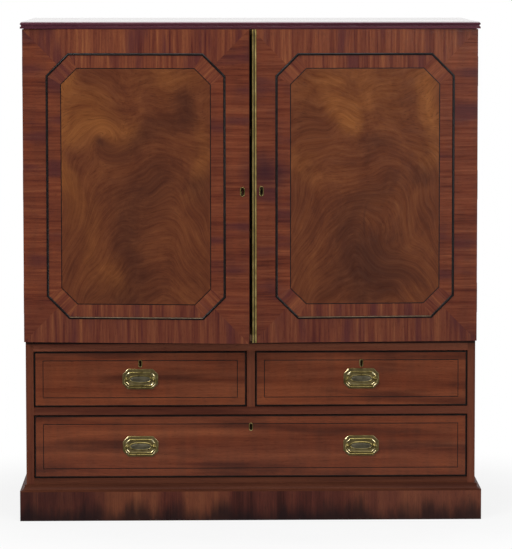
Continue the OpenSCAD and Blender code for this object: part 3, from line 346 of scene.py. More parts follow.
def wood_grain(g, place, warp=0.010, broad=16.0, medium=70.0, weights=(0.5, 0.34, 0.16),
               stretch=(22.0, 28.0, 33.0)):
    """Streaks along the grain from 0 to 1, the pores, and the three layers of the streaks."""
    flow = g.noise(g.vector("MULTIPLY", place, FLOW_SCALE), colour=True)
    sway = g.vector("MULTIPLY", g.vector("SUBTRACT", flow, (0.5,) * 3), (0.0, 2 * warp, 2 * warp))
    place = g.vector("ADD", place, sway)
    layers = [g.noise(g.vector("MULTIPLY", place, (scale / long, scale, scale)), detail=3.0,
                      rough=0.58) for scale, long in zip((broad, medium, FINE_SCALE), stretch)]
    parts = [g.math("MULTIPLY", layer, weight) for layer, weight in zip(layers, weights)]
    total = g.math("ADD", g.math("ADD", parts[0], parts[1]), parts[2])
    pores = g.noise(g.vector("MULTIPLY", place, PORE_SCALE), detail=1.0)
    return total, g.remap(pores, 0.60, 0.72), layers


def polish(g, colour, pores, layers, rough=0.22, coat=0.25, specular=0.35):
    """French-polished wood: pores filled darker, gloss that varies a little, faint bump."""
    colour = g.mix(g.math("MULTIPLY", pores, PORE_SHARE), colour, PORE_TONE)
    gloss = g.remap(layers[1], NOISE_LOW, NOISE_HIGH, rough - 0.03, rough + 0.05)
    height = g.math("SUBTRACT", g.math("MULTIPLY", layers[2], 0.35), pores)
    return g.finish(colour, gloss, height, depth=0.00006, strength=0.35, Coat_Weight=coat,
                    Coat_Roughness=0.10, Coat_IOR=1.5, Specular_IOR_Level=specular)


def mahogany(name, along, tones, shift=0.0, rough=0.22, coat=0.25, specular=0.35, spread=0.11,
             face=None, stain=None, door=False, seam=False, mottle=0.0, **grain):
    """Red-brown wood with its tones from dark to light.

    face holds the tones of faces that look up. stain is a darker tone in clouds, with their
    scale along and across the grain. door adds painted shade towards the doors' foot and dirt
    above the right door's keyhole, seam a painted shadow line under the upper stage, and
    mottle is the strength of pale spots."""
    g = Graph(name)
    place = grain_place(g, along, shift)
    total, pores, layers = wood_grain(g, place, **grain)
    places = (0.5 - 1.5 * spread, 0.5 - 0.5 * spread, 0.5 + 0.5 * spread, 0.5 + 1.6 * spread)
    colour = g.ramp(total, places, tones)
    if face:
        upward, = g.axes(g.add("NewGeometry", out="Normal"), "Z")
        colour = g.mix(g.remap(upward, 0.80, 0.98), colour, g.ramp(total, places, face))
    if stain:
        tone, long, across = stain
        clouds = g.noise(g.vector("MULTIPLY", place, (long, across, across)), detail=3.0)
        clouds = g.remap(clouds, 0.50, 0.68, 0.0, STAIN_SHARE, smooth=True)
        colour = g.mix(clouds, colour, tone)
    if door:
        colour = door_foot_shade_and_lock_dirt(g, colour)
    # Painted shadow line under the upper stage
    if seam:
        height, = g.axes(g.own(), "Z")
        seam_shadow = g.remap(height, (SEAM_SHADOW_Z - SEAM_SHADOW_FADE) * MM, SEAM_SHADOW_Z * MM, 0.0, SEAM_SHADOW_SHARE,
                       smooth=True)
        colour = g.mix(seam_shadow, colour, SEAM_SHADOW_TONE)
    if mottle:
        spots = g.noise(g.vector("MULTIPLY", place, MOTTLE_SCALE))
        spots = g.remap(spots, 0.35, 0.65, 0.0, mottle)
        colour = g.mix(spots, colour, MOTTLE_TONE, "SOFT_LIGHT")
    return polish(g, colour, pores, layers, rough, coat, specular)


def spot(g, place, x, z, rx, rz, turn=0.0):
    """A soft patch that is 1 in its middle; its place and radii are in millimetres."""
    inputs = {"Vector": place, "Location": (x * MM, z * MM, 0.0),
              "Rotation": (0.0, 0.0, math.radians(turn)), "Scale": (rx * MM, rz * MM, 1.0)}
    inside = g.node("Mapping", inputs, vector_type="TEXTURE").outputs[0]
    return g.remap(g.length(inside), 1.0, 0.0, smooth=True)


def door_foot_shade_and_lock_dirt(g, colour):
    """Painted shade towards the foot of the doors, and darker dirt above the right door's keyhole.
    """
    x, z = g.axes(g.own(), "XZ")
    # Painted shade: darker towards the foot of the doors
    foot = g.remap(z, FOOT_SHADE_FADE[0] * MM, FOOT_SHADE_FADE[1] * MM, 0.0, FOOT_SHADE_SHARE, smooth=True)
    lock = g.math("MULTIPLY", spot(g, g.add("CombineXYZ", x, z), *DIRT_PATCH), DIRT_LOCK)
    return g.mix(g.math("MAXIMUM", foot, lock), colour, SHADE_AND_DIRT_TONE)


def plinth_veneer():
    """Upright mottled veneer with painted shade towards the floor, darker to the left, paler to the
    right.
    """
    g = Graph("plinth_veneer")
    place = grain_place(g, "Z", 3.0)
    total, pores, layers = wood_grain(g, place, warp=0.006, broad=9.0, medium=34.0,
                                      weights=(0.50, 0.30, 0.20))
    colour = g.ramp(total, (0.34, 0.47, 0.58, 0.70), PLINTH_TONES)
    own = g.own()
    x, z = g.axes(own, "XZ")
    wander = g.noise(g.vector("MULTIPLY", own, WANDER_SCALE), detail=4.0, rough=0.6)
    wander = g.remap(wander, NOISE_LOW, NOISE_HIGH, *(v * MM for v in PLINTH_WANDER))
    # Painted shade towards the floor
    foot = g.remap(g.math("ADD", z, wander), PLINTH_SHADE_HEIGHT * MM, 0.0, 0.0, PLINTH_SHADE_SHARE,
                   smooth=True)
    left = g.remap(x, *(v * MM for v in PLINTH_LEFT), 0.0, PLINTH_LEFT_SHARE, smooth=True)
    right = g.remap(x, *(v * MM for v in PLINTH_RIGHT), 0.0, PLINTH_RIGHT_SHARE, smooth=True)
    colour = g.mix(right, colour, PLINTH_PALE)
    colour = g.mix(g.math("MAXIMUM", foot, left), colour, PLINTH_DARK)
    return polish(g, colour, pores, layers, rough=0.30, coat=0.1, specular=0.2)


def figured(name, middle, shift, eyes, golden, dark):
    """Feathered veneer: ripples that arch over the panel's middle, with golden and dark clouds."""
    g = Graph(name)
    own = g.add("TexCoord", out="UV")
    bend = g.noise(g.vector("MULTIPLY", own, BEND_SCALE), detail=1.6, colour=True)
    bend = g.vector("SUBTRACT", bend, (0.5,) * 3)
    place = g.vector("ADD", own, g.vector("MULTIPLY", bend, FIGURE_BEND))
    for x, z, r, pull in eyes:
        patch = spot(g, own, x, z, r, r * EYE_STRETCH)
        inputs = {"Vector": place, "Center": (x * MM, z * MM, 0.0),
                  "Angle": g.math("MULTIPLY", patch, math.radians(pull))}
        place = g.node("VectorRotate", inputs, rotation_type="Z_AXIS").outputs[0]
    x, z = g.axes(place, "XY")
    side = g.math("SUBTRACT", x, middle * MM)
    arch = g.remap(z, ARCH_LOW[0] * MM, ARCH_HIGH[0] * MM, ARCH_LOW[1], ARCH_HIGH[1])
    feather = g.math("ADD", z, g.math("MULTIPLY", g.math("MULTIPLY", side, side), arch))
    lines = g.add("CombineXYZ", g.math("ADD", x, shift), g.math("ADD", feather, shift))
    total, pores, layers = wood_grain(g, lines, warp=0.005, broad=30.0, medium=120.0,
                                      weights=(0.42, 0.38, 0.20), stretch=(3.0, 6.0, 10.0))
    cloud = g.noise(g.vector("MULTIPLY", place, CLOUD_SCALE), detail=6.0, rough=0.68)
    total = g.math("ADD", g.math("MULTIPLY", total, 0.60), g.math("MULTIPLY", cloud, 0.40))
    colour = g.ramp(total, (0.34, 0.46, 0.55, 0.68), FIELD_TONES)
    light = g.remap(total, 0.38, 0.62)
    loose = g.vector("ADD", own, g.vector("MULTIPLY", bend, PATCH_BEND))
    for patches, tones in ((golden, GOLDEN_TONES), (dark, CLOUD_TONES)):
        tone = g.mix(light, *tones)
        for *where, amount in patches:
            colour = g.mix(g.math("MULTIPLY", spot(g, loose, *where), amount), colour, tone)
    return polish(g, colour, pores, layers)


def ebonised(name, dark, pale):
    """Blackened polished wood with a little of its grain left."""
    g = Graph(name)
    grain = g.noise(g.vector("MULTIPLY", g.own(), (EBONY_SCALE,) * 3), detail=3.0)
    colour = g.ramp(grain, (0.35, 0.7), (dark, pale))
    gloss = g.remap(grain, NOISE_LOW, NOISE_HIGH, 0.30, 0.38)
    return g.finish(colour, gloss, Specular_IOR_Level=0.3)


def board_number(g):
    """A value from 0 to 1 for each board of the back: columns above the seam, rows below."""
    x, z = g.axes(g.own(), "XZ")
    column = g.math("ADD", x, HALF_INNER_W * MM)
    column = g.math("FLOOR", g.math("DIVIDE", column, BACK_BOARD_W * MM))
    row = g.math("SUBTRACT", z, CASE_Z0 * MM)
    row = g.math("FLOOR", g.math("DIVIDE", row, BACK_BOARD_H * MM))
    above = g.math("GREATER_THAN", z, SPLIT_Z * MM)
    low = g.math("MULTIPLY", g.math("SUBTRACT", 1.0, above), g.math("ADD", row, LEVEL_BOARDS))
    index = g.math("ADD", g.math("MULTIPLY", above, column), low)
    return g.math("FRACT", g.math("MULTIPLY", g.math("ADD", index, 1.0), SPREAD_STEP))


def plain_wood(name, along, tones, boards=False):
    """Unpolished inner wood; the back's boards have a tone and a grain of their own."""
    g = Graph(name)
    place = grain_place(g, along, 1.7)
    if boards:
        board = board_number(g)
        place = g.vector("ADD", place, g.math("MULTIPLY", board, BOARD_JUMP))
    total, pores, layers = wood_grain(g, place, warp=0.012, broad=14.0, medium=60.0)
    colour = g.ramp(total, (0.34, 0.5, 0.68), tones)
    colour = g.mix(g.math("MULTIPLY", pores, PLAIN_PORE_SHARE), colour, PLAIN_PORE_TONE)
    if boards:
        colour = g.mix(g.math("MULTIPLY", board, OLD_BOARD_SHARE), colour, OLD_BOARD_TONE)
    gloss = g.remap(layers[1], NOISE_LOW, NOISE_HIGH, 0.55, 0.75)
    return g.finish(colour, gloss, layers[2], depth=0.0001, strength=0.4)


def metal(name, tones, rough, stain, metallic):
    """Aged metal: a mottled tone, fine scratches and dull stains."""
    g = Graph(name)
    place = g.own()
    blotch = g.noise(g.vector("MULTIPLY", place, (BLOTCH_SCALE,) * 3), detail=3.0)
    scratch = g.noise(g.vector("MULTIPLY", place, SCRATCH_SCALE))
    colour = g.ramp(blotch, (0.32, 0.5, 0.68), tones)
    dull = g.noise(g.vector("MULTIPLY", place, (DULL_SCALE,) * 3), detail=3.0)
    dull = g.remap(dull, 0.45, 0.80)
    colour = g.mix(g.math("MULTIPLY", dull, METAL_STAIN_SHARE), colour, stain)
    gloss = g.remap(blotch, NOISE_LOW, NOISE_HIGH, rough - 0.06, rough + 0.10)
    gloss = g.math("ADD", gloss, g.math("MULTIPLY", dull, 0.12))
    return g.finish(colour, gloss, scratch, depth=0.00001, strength=0.15, Metallic=metallic)


def make_materials():
    """All materials by name."""
    calm = {"rough": 0.30, "coat": 0.05, "specular": 0.18}
    mats = {
        "rail": mahogany("mahogany_rail", "X", RAIL_TONES, 0.4, warp=0.006),
        "drawer": mahogany("mahogany_drawer", "X", RED_TONES, 1.1, mottle=0.2, warp=0.022,
                           broad=13.0, medium=46.0, stain=(DRAWER_STAIN, 2.2, 20.0)),
        "top": mahogany("mahogany_top", "X", TOP_TONES, 2.3, rough=0.18, coat=1.0,
                        face=TOP_FACE_TONES),
        # The rail under the doors: painted light in its tones, with a painted shadow line under the
        # upper stage
        "seam_rail": mahogany("mahogany_seam_rail", "X", LIT_RAIL_TONES, 0.6, warp=0.006,
                              seam=True),
        "side": mahogany("mahogany_upright", "Z", RAIL_TONES, 0.9, **calm),
        "seam_side": mahogany("mahogany_lower_upright", "Z", RAIL_TONES, 0.9, seam=True, **calm),
        "moulding": mahogany("mahogany_moulding", "X", FOOT_TONES, 2.9, warp=0.004, rough=0.45,
                             coat=0.0, specular=0.06),
        "foot": mahogany("mahogany_foot_rail", "X", BASE_TONES, 0.2, warp=0.006, coat=0.1,
                         specular=0.2),
        "cross": mahogany("crossbanding", "UV", CROSS_TONES, warp=0.004, broad=48.0,
                          medium=150.0, spread=0.095, stain=(CROSS_STAIN, 3.0, 22.0), door=True),
        "stile": mahogany("crossbanding_upright", "UV", STILE_TONES, 0.7, warp=0.006, broad=26.0,
                          medium=130.0, mottle=0.15, weights=(0.36, 0.40, 0.24), spread=0.10,
                          stain=(STILE_STAIN, 3.0, 13.0), door=True),
        "left_field": figured("figured_left", **LEFT_FIGURE),
        "right_field": figured("figured_right", **RIGHT_FIGURE),
        "plinth": plinth_veneer(),
        "ebony": ebonised("ebonised_wood", (12, 8, 8), (22, 15, 14)),
        # Brown ebony for the painted highlight of the bead's bottom run
        "ebony_painted_highlight": ebonised("ebonised_wood_painted_highlight", (82, 64, 43), (112, 90, 62)),
        "inner_x": plain_wood("inner_wood_across", "X", PLAIN_TONES),
        "inner_y": plain_wood("inner_wood_back", "Y", PLAIN_TONES),
        "inner_z": plain_wood("inner_wood_upright", "Z", UPRIGHT_TONES),
        "back": plain_wood("back_board_wood", "Z", UPRIGHT_TONES, boards=True),
    }
    mats.update((key, metal(*values)) for key, values in METALS.items())
    return mats


# ---------------------------------------------------------------- shapes

def full_turn(count):
    return [2 * math.pi * i / count for i in range(count)]


def half_turn(steps=8):
    return [math.pi * i / steps for i in range(steps + 1)]


def midpoint(a, b):
    return (a[0] + b[0]) / 2, (a[1] + b[1]) / 2


def canted(w, h, c):
    """Outline with four canted corners, clockwise from the top edge's right end."""
    a, b = w / 2, h / 2
    return [(a - c, b), (a, b - c), (a, c - b), (a - c, -b),
            (c - a, -b), (-a, c - b), (-a, b - c), (c - a, b)]


def drawn_in(c, k):
    """Leg of a canted corner after its outline is drawn in by k."""
    return c - k * (2 - SQRT2)


def bead_outline(k):
    return canted(DOOR_W - 2 * (BEAD_IN + k), DOOR_H - 2 * (BEAD_IN_END + k),
                  drawn_in(BEAD_CANT, k))


def string_outline(k):
    return canted(DOOR_W - 2 * (BEAD_IN + STRING_IN + k),
                  DOOR_H - 2 * (BEAD_IN_END + STRING_IN + k), drawn_in(STRING_CANT, k))


def plate_outline(k):
    return canted(PLATE_W - 2 * k, PLATE_H - 2 * k, drawn_in(PLATE_CANT, k))


def boss_outline(k):
    """A flattened oval, clockwise from its right end."""
    points = []
    for a in full_turn(BOSS_POINTS):
        x, z = math.cos(a), -math.sin(a)
        points.append(((BOSS_W - 2 * k) / 2 * math.copysign(abs(x) ** BOSS_FLAT_X, x),
                       (BOSS_H - 2 * k) / 2 * math.copysign(abs(z) ** BOSS_FLAT_Z, z)))
    return points


def stadium(w, h, x, z):
    """A stadium with upright sides, counter-clockwise."""
    return [(x + w / 2 * math.cos(side + a), z + up * (h - w) / 2 + w / 2 * math.sin(side + a))
            for side, up in ((0, 1), (math.pi, -1)) for a in half_turn(12)]


def hung(side, ajar):
    """From a door's middle on its face, in millimetres, to its place at rest."""
    pin = Vector((side * PIN_X, PIN_Y, 0.0))
    return (Matrix.Translation(pin) @ Matrix.Rotation(math.radians(side * ajar), 4, "Z")
            @ Matrix.Translation(-pin) @ Matrix.Translation((side * DOOR_CX, FACE_Y, DOOR_CZ)))


def linked(name, mesh):
    """A new object in the scene."""
    obj = bpy.data.objects.new(name, mesh)
    bpy.context.scene.collection.objects.link(obj)
    return obj


def soften(obj, width):
    """Rounds the arrises."""
    mod = obj.modifiers.new("arris", "BEVEL")
    mod.width = width * MM
    mod.segments = ARRIS_STEPS
    mod.limit_method = "ANGLE"
    mod.angle_limit = math.radians(ARRIS_ANGLE)
    mod.harden_normals = True


class Piece:
    """Collects faces in millimetres, with a texture place and a material for each."""

    def __init__(self, place=None):
        self.bm = bmesh.new()
        self.uv = self.bm.loops.layers.uv.new("grain")
        self.place = place or Matrix()

    def _map(self, faces, texture, material):
        for face in faces:
            face.material_index = material
            for loop in face.loops:
                p = loop.vert.co
                loop[self.uv].uv = texture(p.x, p.z) if texture else (p.x * MM, p.z * MM)

    def slab(self, outer, y0, y1, holes=(), texture=None, material=0):
        """A flat plate with holes from its face y0 back to y1."""
        edges = []
        for loop in (outer, *holes):
            verts = [self.bm.verts.new((x, y0, z)) for x, z in loop]
            edges += [self.bm.edges.new((verts[i - 1], verts[i])) for i in range(len(verts))]
        made = bmesh.ops.triangle_fill(self.bm, edges=edges, use_beauty=True)["geom"]
        faces = [f for f in made if isinstance(f, bmesh.types.BMFace)]
        grown = bmesh.ops.extrude_face_region(self.bm, geom=faces)["geom"]
        for v in grown:
            if isinstance(v, bmesh.types.BMVert):
                v.co.y = y1
        sides = {f for e in edges for f in e.link_faces}
        self._map(set(faces) | sides | {f for f in grown if isinstance(f, bmesh.types.BMFace)},
                  texture, material)

    def loops(self, rings, closed=False, ends=False, materials=None, cants=None):
        """Faces between rings of (x, y, z).

        materials gives each step's, then the last end's; the first end has the first step's.
        cants gives the material of the canted sides of an octagon's steps."""
        rows = [[self.bm.verts.new(p) for p in ring] for ring in rings]
        steps = len(rows) if closed else len(rows) - 1
        for k in range(steps):
            a, b = rows[k], rows[(k + 1) % len(rows)]
            faces = [self.bm.faces.new((a[i - 1], a[i], b[i], b[i - 1])) for i in range(len(a))]
            self._map(faces, None, materials[k] if materials else 0)
            if cants:
                self._map(faces[1::2], None, cants[k])
        if ends:
            for k in (-1, 0):
                face = self.bm.faces.new(rows[k])
                self._map([face], None, materials[k] if materials else 0)

    def tube(self, path, materials, around=16):
        """A round bar along (x, y, z, radius) at one y; its ends are closed."""
        rings = []
        for k, (x, y, z, r) in enumerate(path):
            a, b = path[max(k - 1, 0)], path[min(k + 1, len(path) - 1)]
            dx, dz = b[0] - a[0], b[2] - a[2]
            length = math.hypot(dx, dz)
            nx, nz = -dz / length, dx / length
            rings.append([(x + nx * (r * math.cos(t)), y + r * math.sin(t),
                           z + nz * (r * math.cos(t))) for t in full_turn(around)])
        self.loops(rings, ends=True, materials=materials)

    def lathe(self, x, z, profile, around=28):
        """A turned piece whose axis runs from front to back; profile holds (y, radius)."""
        self.loops([[(x + r * math.cos(t), y, z + r * math.sin(t)) for t in full_turn(around)]
                    for y, r in profile], ends=True)

    def paint(self, material, test):
        """Gives a material to the faces whose middle the test picks."""
        for face in self.bm.faces:
            if test(face.calc_center_median()):
                face.material_index = material

    def done(self, name, body, materials, replaces=(), sharp=35.0):
        """Makes the object in metres, in its place, riding on its body."""
        self.bm.transform(Matrix.Scale(MM, 4) @ self.place)
        bmesh.ops.recalc_face_normals(self.bm, faces=self.bm.faces)
        for face in self.bm.faces:
            face.smooth = True
        mesh = bpy.data.meshes.new(name)
        self.bm.to_mesh(mesh)
        self.bm.free()
        mesh.set_sharp_from_angle(angle=math.radians(sharp))
        for material in materials:
            mesh.materials.append(material)
        obj = linked(name, mesh)
        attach(obj, body)
        if replaces:
            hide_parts(*replaces)


# ---------------------------------------------------------------- doors

def grain_map(turn, shift):
    """Texture place in metres with the grain turned from the level."""
    c, s = math.cos(math.radians(turn)), math.sin(math.radians(turn))
    return lambda x, z: ((x * c + z * s) * MM + shift, (z * c - x * s) * MM + 0.37 * shift)


def door_bands(side, place, body, mats, keyhole, seed):
    """Crossbanded margins outside the bead and bands between the bead and the string."""
    outer, inner = bead_outline(-BEAD_W / 2), bead_outline(BEAD_W / 2)
    string = string_outline(-STRING_W / 2)
    w, h = DOOR_W / 2, DOOR_H / 2
    corners = [(w, h), (w, -h), (-w, -h), (-w, h)]
    mitres = [midpoint(outer[2 * k], outer[2 * k + 1]) for k in range(4)]
    x, z, plate_w, plate_h = keyhole
    hole = stadium(plate_w - 2 * PLATE_LAP, plate_h - 2 * PLATE_LAP, x, z)
    inner_stile = 3 if side > 0 else 1

    bands = Piece(place)
    for k in range(4):
        poly = [corners[k - 1], corners[k], mitres[k], outer[2 * k], outer[2 * k - 1],
                mitres[k - 1]]
        turn = 90.0 if k % 2 == 0 else 0.0
        bands.slab(poly, 0.0, VENEER, [hole] if k == inner_stile else [],
                   grain_map(turn, seed + MARGIN_STEP * k), k % 2)
    for k in range(8):
        poly = [inner[k], inner[(k + 1) % 8], string[(k + 1) % 8], string[k]]
        dx, dz = poly[1][0] - poly[0][0], poly[1][1] - poly[0][1]
        turn = math.degrees(math.atan2(dz, dx)) + 90.0
        upright = int(k in (1, 5))
        bands.slab(poly, 0.0, VENEER, (), grain_map(turn, seed + BAND_START + BAND_STEP * k),
                   upright)
    bands.done(body + "_crossbanding", body, [mats["cross"], mats["stile"]],
               [body + "_bands"])


def door_bead(place, body, mats):
    """The ebonised bead; its bottom run has a painted highlight in brown where the light meets it.
    """
    bead = Piece(place)
    half = BEAD_W / 2
    profile = [(-half, VENEER), (-half, -BEAD_FLANK)]
    profile += [(-(half - BEAD_SHOULDER) * math.cos(a), -BEAD_FLANK - BEAD_RISE * math.sin(a))
                for a in half_turn()]
    profile += [(half, -BEAD_FLANK), (half, VENEER)]
    bead.loops([[(x, y, z) for x, z in bead_outline(k)] for k, y in profile], closed=True)
    # Painted highlight on the upward faces of the bottom run
    bead.paint(1, lambda p: abs(p.x) < RUN_MIDDLE and p.y < -BEAD_LIT_OUT
               and BEAD_LIT < p.z + DOOR_H / 2 - BEAD_IN_END < half)
    bead.done(body + "_moulded_bead", body,
              [mats["ebony"], mats["ebony_painted_highlight"]], [body + "_bead"], sharp=40.0)


def door_veneers(side, ajar, body, mats, keyhole, seed):
    """Crossbanding, field, string, bead and keyhole rim of one door."""
    place = hung(side, ajar)
    door_bands(side, place, body, mats, keyhole, seed)

    field = Piece(place)
    field.slab(string_outline(STRING_W / 2), 0.0, VENEER)
    name = "left_field" if side < 0 else "right_field"
    field.done(body + "_figured_field", body, [mats[name]], [body + "_field"])

    line = Piece(place)
    line.slab(string_outline(-STRING_W / 2), -STRING_OUT, VENEER, [string_outline(STRING_W / 2)])
    line.done(body + "_inlaid_string", body, [mats["ebony"]],
              [body + "_string"])

    door_bead(place, body, mats)
    keyhole_rim(body + "_keyhole_rim", body, place, *keyhole, mats)


def keyhole_rim(name, body, place, x, z, w, h, mats):
    """The bright rim of a keyhole plate."""
    rim = Piece(place)
    rim.loops([[(px, -out, pz) for px, pz in stadium(w - 2 * k, h - 2 * k, x, z)]
               for k, out in RIM_STEPS], closed=True)
    rim.done(name, body, [mats["brass"]])


def brass_strip(mats):
    """The strip on the right door's free edge: a flat with two beads."""
    x0 = MEETING - DOOR_CX
    half, rise = STRIP_BEAD - STRIP_EDGE, STRIP_BEAD - STRIP_LOW
    section = [(x0, 0.0), (x0, -STRIP_T)]
    for start in (x0 + STRIP_EDGE, x0 + STRIP_W - STRIP_EDGE - 2 * half):
        section += [(start + half * (1 - math.cos(a)), -STRIP_T - rise * math.sin(a))
                    for a in half_turn()]
    section += [(x0 + STRIP_W, -STRIP_T), (x0 + STRIP_W, 0.0)]
    z0, z1 = -DOOR_H / 2 + STRIP_SHORT, DOOR_H / 2 - STRIP_SHORT
    strip = Piece(hung(1, RIGHT_AJAR))
    strip.loops([[(x, y, z) for x, y in section] for z in (z0, z1)], ends=True)
    strip.paint(1, lambda p: 2 * STRIP_BEAD < p.x - x0 < STRIP_W - 2 * STRIP_BEAD)
    strip.done("right_door_beaded_strip", "right_door",
               [mats["strip_brass"], mats["groove_brass"]],
               ["right_door_strip"], sharp=50.0)


# ---------------------------------------------------------------- handles

def handle_plate(piece, x, z):
    """Stepped octagonal plate with an oval boss in its middle."""
    for outline, steps, last in ((plate_outline, PLATE_STEPS, PATINA),
                                 (boss_outline, BOSS_STEPS, GREY)):
        shades = [shade for *_, shade in steps[1:]]
        # Canted sides of the bright steps: worn, with a painted highlight
        cants = [WORN_HIGHLIGHT if shade == BRASS else PATINA for shade in shades]
        piece.loops([[(x + px, CASE_FRONT - out, z + pz) for px, pz in outline(k)]
                     for k, out, _ in steps], ends=True, materials=shades + [last],
                    cants=cants if outline is plate_outline else None)


def handle_posts(piece, x, z):
    """Two turned posts with an eye each, and the rod and nut behind the drawer front."""
    sweep = POST_EYE_TO - POST_EYE_FROM
    angles = [math.radians(POST_EYE_FROM + sweep * i / POST_EYE_STEPS)
              for i in range(POST_EYE_STEPS + 1)]
    eye = [(CASE_FRONT - BAIL_OUT - POST_EYE_R * math.sin(a),
            POST_EYE_R * math.cos(a) + POST_EYE_TIP) for a in angles]
    foot, nut, rod = ([(CASE_FRONT - out, r) for out, r in part] for part in (POST_FOOT, NUT, ROD))
    for post_x in (x - POST_X, x + POST_X):
        piece.lathe(post_x, z, foot + eye)
        piece.lathe(post_x, z, nut, around=6)
        piece.lathe(post_x, z, rod)


def bail_path():
    """The bail's middle line from its left pivot to its right one: x, z and radius."""
    left, foot, low, turn = -BAIL_X, BAIL_CANT - BAIL_X, -BAIL_DROP, BAIL_CANT - BAIL_DROP
    points = [(-32.6, 0.0, 1.3), (-38.4, 0.0, 1.3), (-39.2, -0.1, 1.6), (-40.2, -0.9, BEND_R),
              (left, -2.4, BAIL_R), (left, -6.0, 1.75), (left, turn + BEND, BAIL_R),
              (left + BEND_EASE, turn, BEND_R), (left + BEND, turn - BEND, BEND_R),
              (foot - BEND, low + BEND, BEND_R), (foot, low + BEND_EASE, BEND_R),
              (foot + 1.4, low, BAIL_R), (-12.0, low, BAIL_R)]
    mirrored = [(-px, pz, r) for px, pz, r in reversed(points)]
    return points + [(0.0, low, BAIL_R)] + mirrored


def make_bail(name, x, z, mats):
    """A swinging bail whose canted lengths are worn bright, with a painted highlight in pale brass.
    """
    path = bail_path()
    # Canted lengths: worn, with a painted highlight
    worn_highlight = [int(min(abs(a[0] - b[0]), abs(a[1] - b[1])) > CANT_RUN)
            for a, b in zip(path, path[1:])]
    piece = Piece()
    piece.tube([(x + px, CASE_FRONT - BAIL_OUT, z + pz, r) for px, pz, r in path], worn_highlight + [0])
    piece.done(name + "_ring", name, [mats["brass"], mats["worn_highlight_brass"]], [name],
               sharp=60.0)


def cad_part(node, name, body, material, keep):
    """A copy of those loose parts of a node that the test keeps by their box's two corners."""
    bm = bmesh.new()
    bm.from_mesh(bpy.data.objects[node].data)
    bmesh.ops.remove_doubles(bm, verts=bm.verts, dist=WELD)
    seen, drop = set(), []
    for start in bm.verts:
        if start in seen:
            continue
        island, stack = [], [start]
        seen.add(start)
        while stack:
            v = stack.pop()
            island.append(v)
            for edge in v.link_edges:
                other = edge.other_vert(v)
                if other not in seen:
                    seen.add(other)
                    stack.append(other)
        low, high = (Vector([pick(v.co[i] for v in island) for i in range(3)])
                     for pick in (min, max))
        if not keep(low / MM, high / MM):
            drop += island
    bmesh.ops.delete(bm, geom=drop, context="VERTS")
    mesh = bpy.data.meshes.new(name)
    bm.to_mesh(mesh)
    bm.free()
    mesh.materials.append(material)
    obj = linked(name, mesh)
    soften(obj, BRASS_ARRIS)
    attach(obj, body)


def drawer_brass(prefix, handles_x, z, keyhole_z, mats):
    """Handle plates with their posts, and the keyhole plate and lock case from the model."""
    body = prefix + "_drawer"
    node = body + "_brassware"
    plates = Piece()
    for x in handles_x:
        handle_plate(plates, x, z)
        handle_posts(plates, x, z)
    plates.done(body + "_handle_plates", body,
                [mats["brass"], mats["patina"], mats["worn_highlight_brass"], mats["grey_patina"]],
                [node], sharp=24.0)
    cad_part(node, body + "_lock", body, mats["dark_brass"],
             lambda low, high: high.x - low.x < PLATE_W - 1.0)
    keyhole_rim(body + "_keyhole_rim", body, Matrix.Translation((0.0, CASE_FRONT, 0.0)),
                sum(handles_x) / len(handles_x), keyhole_z, *DRAWER_PLATE, mats)


# ---------------------------------------------------------------- dressing and studio

def dress_nodes(mats):
    """Gives each model part that stays its material, and rounds its arrises."""
    finish = {
        "top_board": ("top", 0.8),
        "upper_sides": ("side", 0.8), "lower_sides": ("seam_side", 0.8),
        "left_door_frame": ("side", 0.8), "right_door_frame": ("side", 0.8),
        "drawer_partition": ("side", 0.5),
        "lower_top": ("seam_rail", 0.5), "middle_rail": ("rail", 0.5),
        "bottom_board": ("foot", 0.5),
        "plinth_front": ("plinth", 1.0), "plinth_sides": ("plinth", 1.0),
        "plinth_moulding": ("moulding", 0.6),
        "inner_top": ("inner_x", 0.5), "upper_bottom": ("inner_x", 0.5),
        "plinth_back": ("inner_x", 0.5), "shelves": ("inner_x", 0.8),
        "shelf_bearers": ("inner_y", 0.5), "drawer_runners": ("inner_y", 0.5),
        "plinth_bearer": ("inner_y", 0.5), "plinth_blocks": ("inner_z", 0.5),
        "back_boards": ("back", 1.5),
        "right_door_lock_bolt": ("iron", 0.3),
    }
    for prefix in ("left", "right", "long"):
        finish[prefix + "_drawer_front"] = ("drawer", 0.5)
        finish[prefix + "_drawer_box"] = ("inner_y", 0.5)
        finish[prefix + "_drawer_inlay"] = ("ebony", 0.5)
        finish[prefix + "_drawer_lock_bolt"] = ("iron", 0.3)
    for node in ("case_hinge_leaves", "hinge_pins", "left_door_hinge_leaves",
                 "right_door_hinge_leaves", "left_door_plates", "right_door_lock"):
        finish[node] = ("dark_brass", BRASS_ARRIS)
    for node in ("left_door_bolt_guides", "left_door_top_bolt", "left_door_bottom_bolt"):
        finish[node] = ("brass", BRASS_ARRIS)
    for node, (material, width) in finish.items():
        obj = bpy.data.objects[node]
        for slot in obj.material_slots:
            slot.material = mats[material]
        soften(obj, width)


def make_sky():
    """A world that is white to the eye, plain to matt faces and dark to the front's mirrors."""
    world = bpy.data.worlds.new("studio")
    bpy.context.scene.world = world
    world.use_nodes = True
    g = Nodes(world.node_tree)
    background = g.tree.nodes["Background"]
    background.inputs["Strength"].default_value = 1.0
    backward, = g.axes(g.add("TexCoord", out="Generated"), "Y")
    mirrored = g.remap(backward, SKY_FRONT[0], SKY_BACK[0], SKY_FRONT[1], SKY_BACK[1],
                       smooth=True)
    light = g.blend(g.add("LightPath", out="Is Glossy Ray"), SKY_LIGHT, mirrored)
    colour = g.blend(g.add("LightPath", out="Is Camera Ray"), light, SKY_SEEN)
    g.put(background.inputs["Color"], colour)


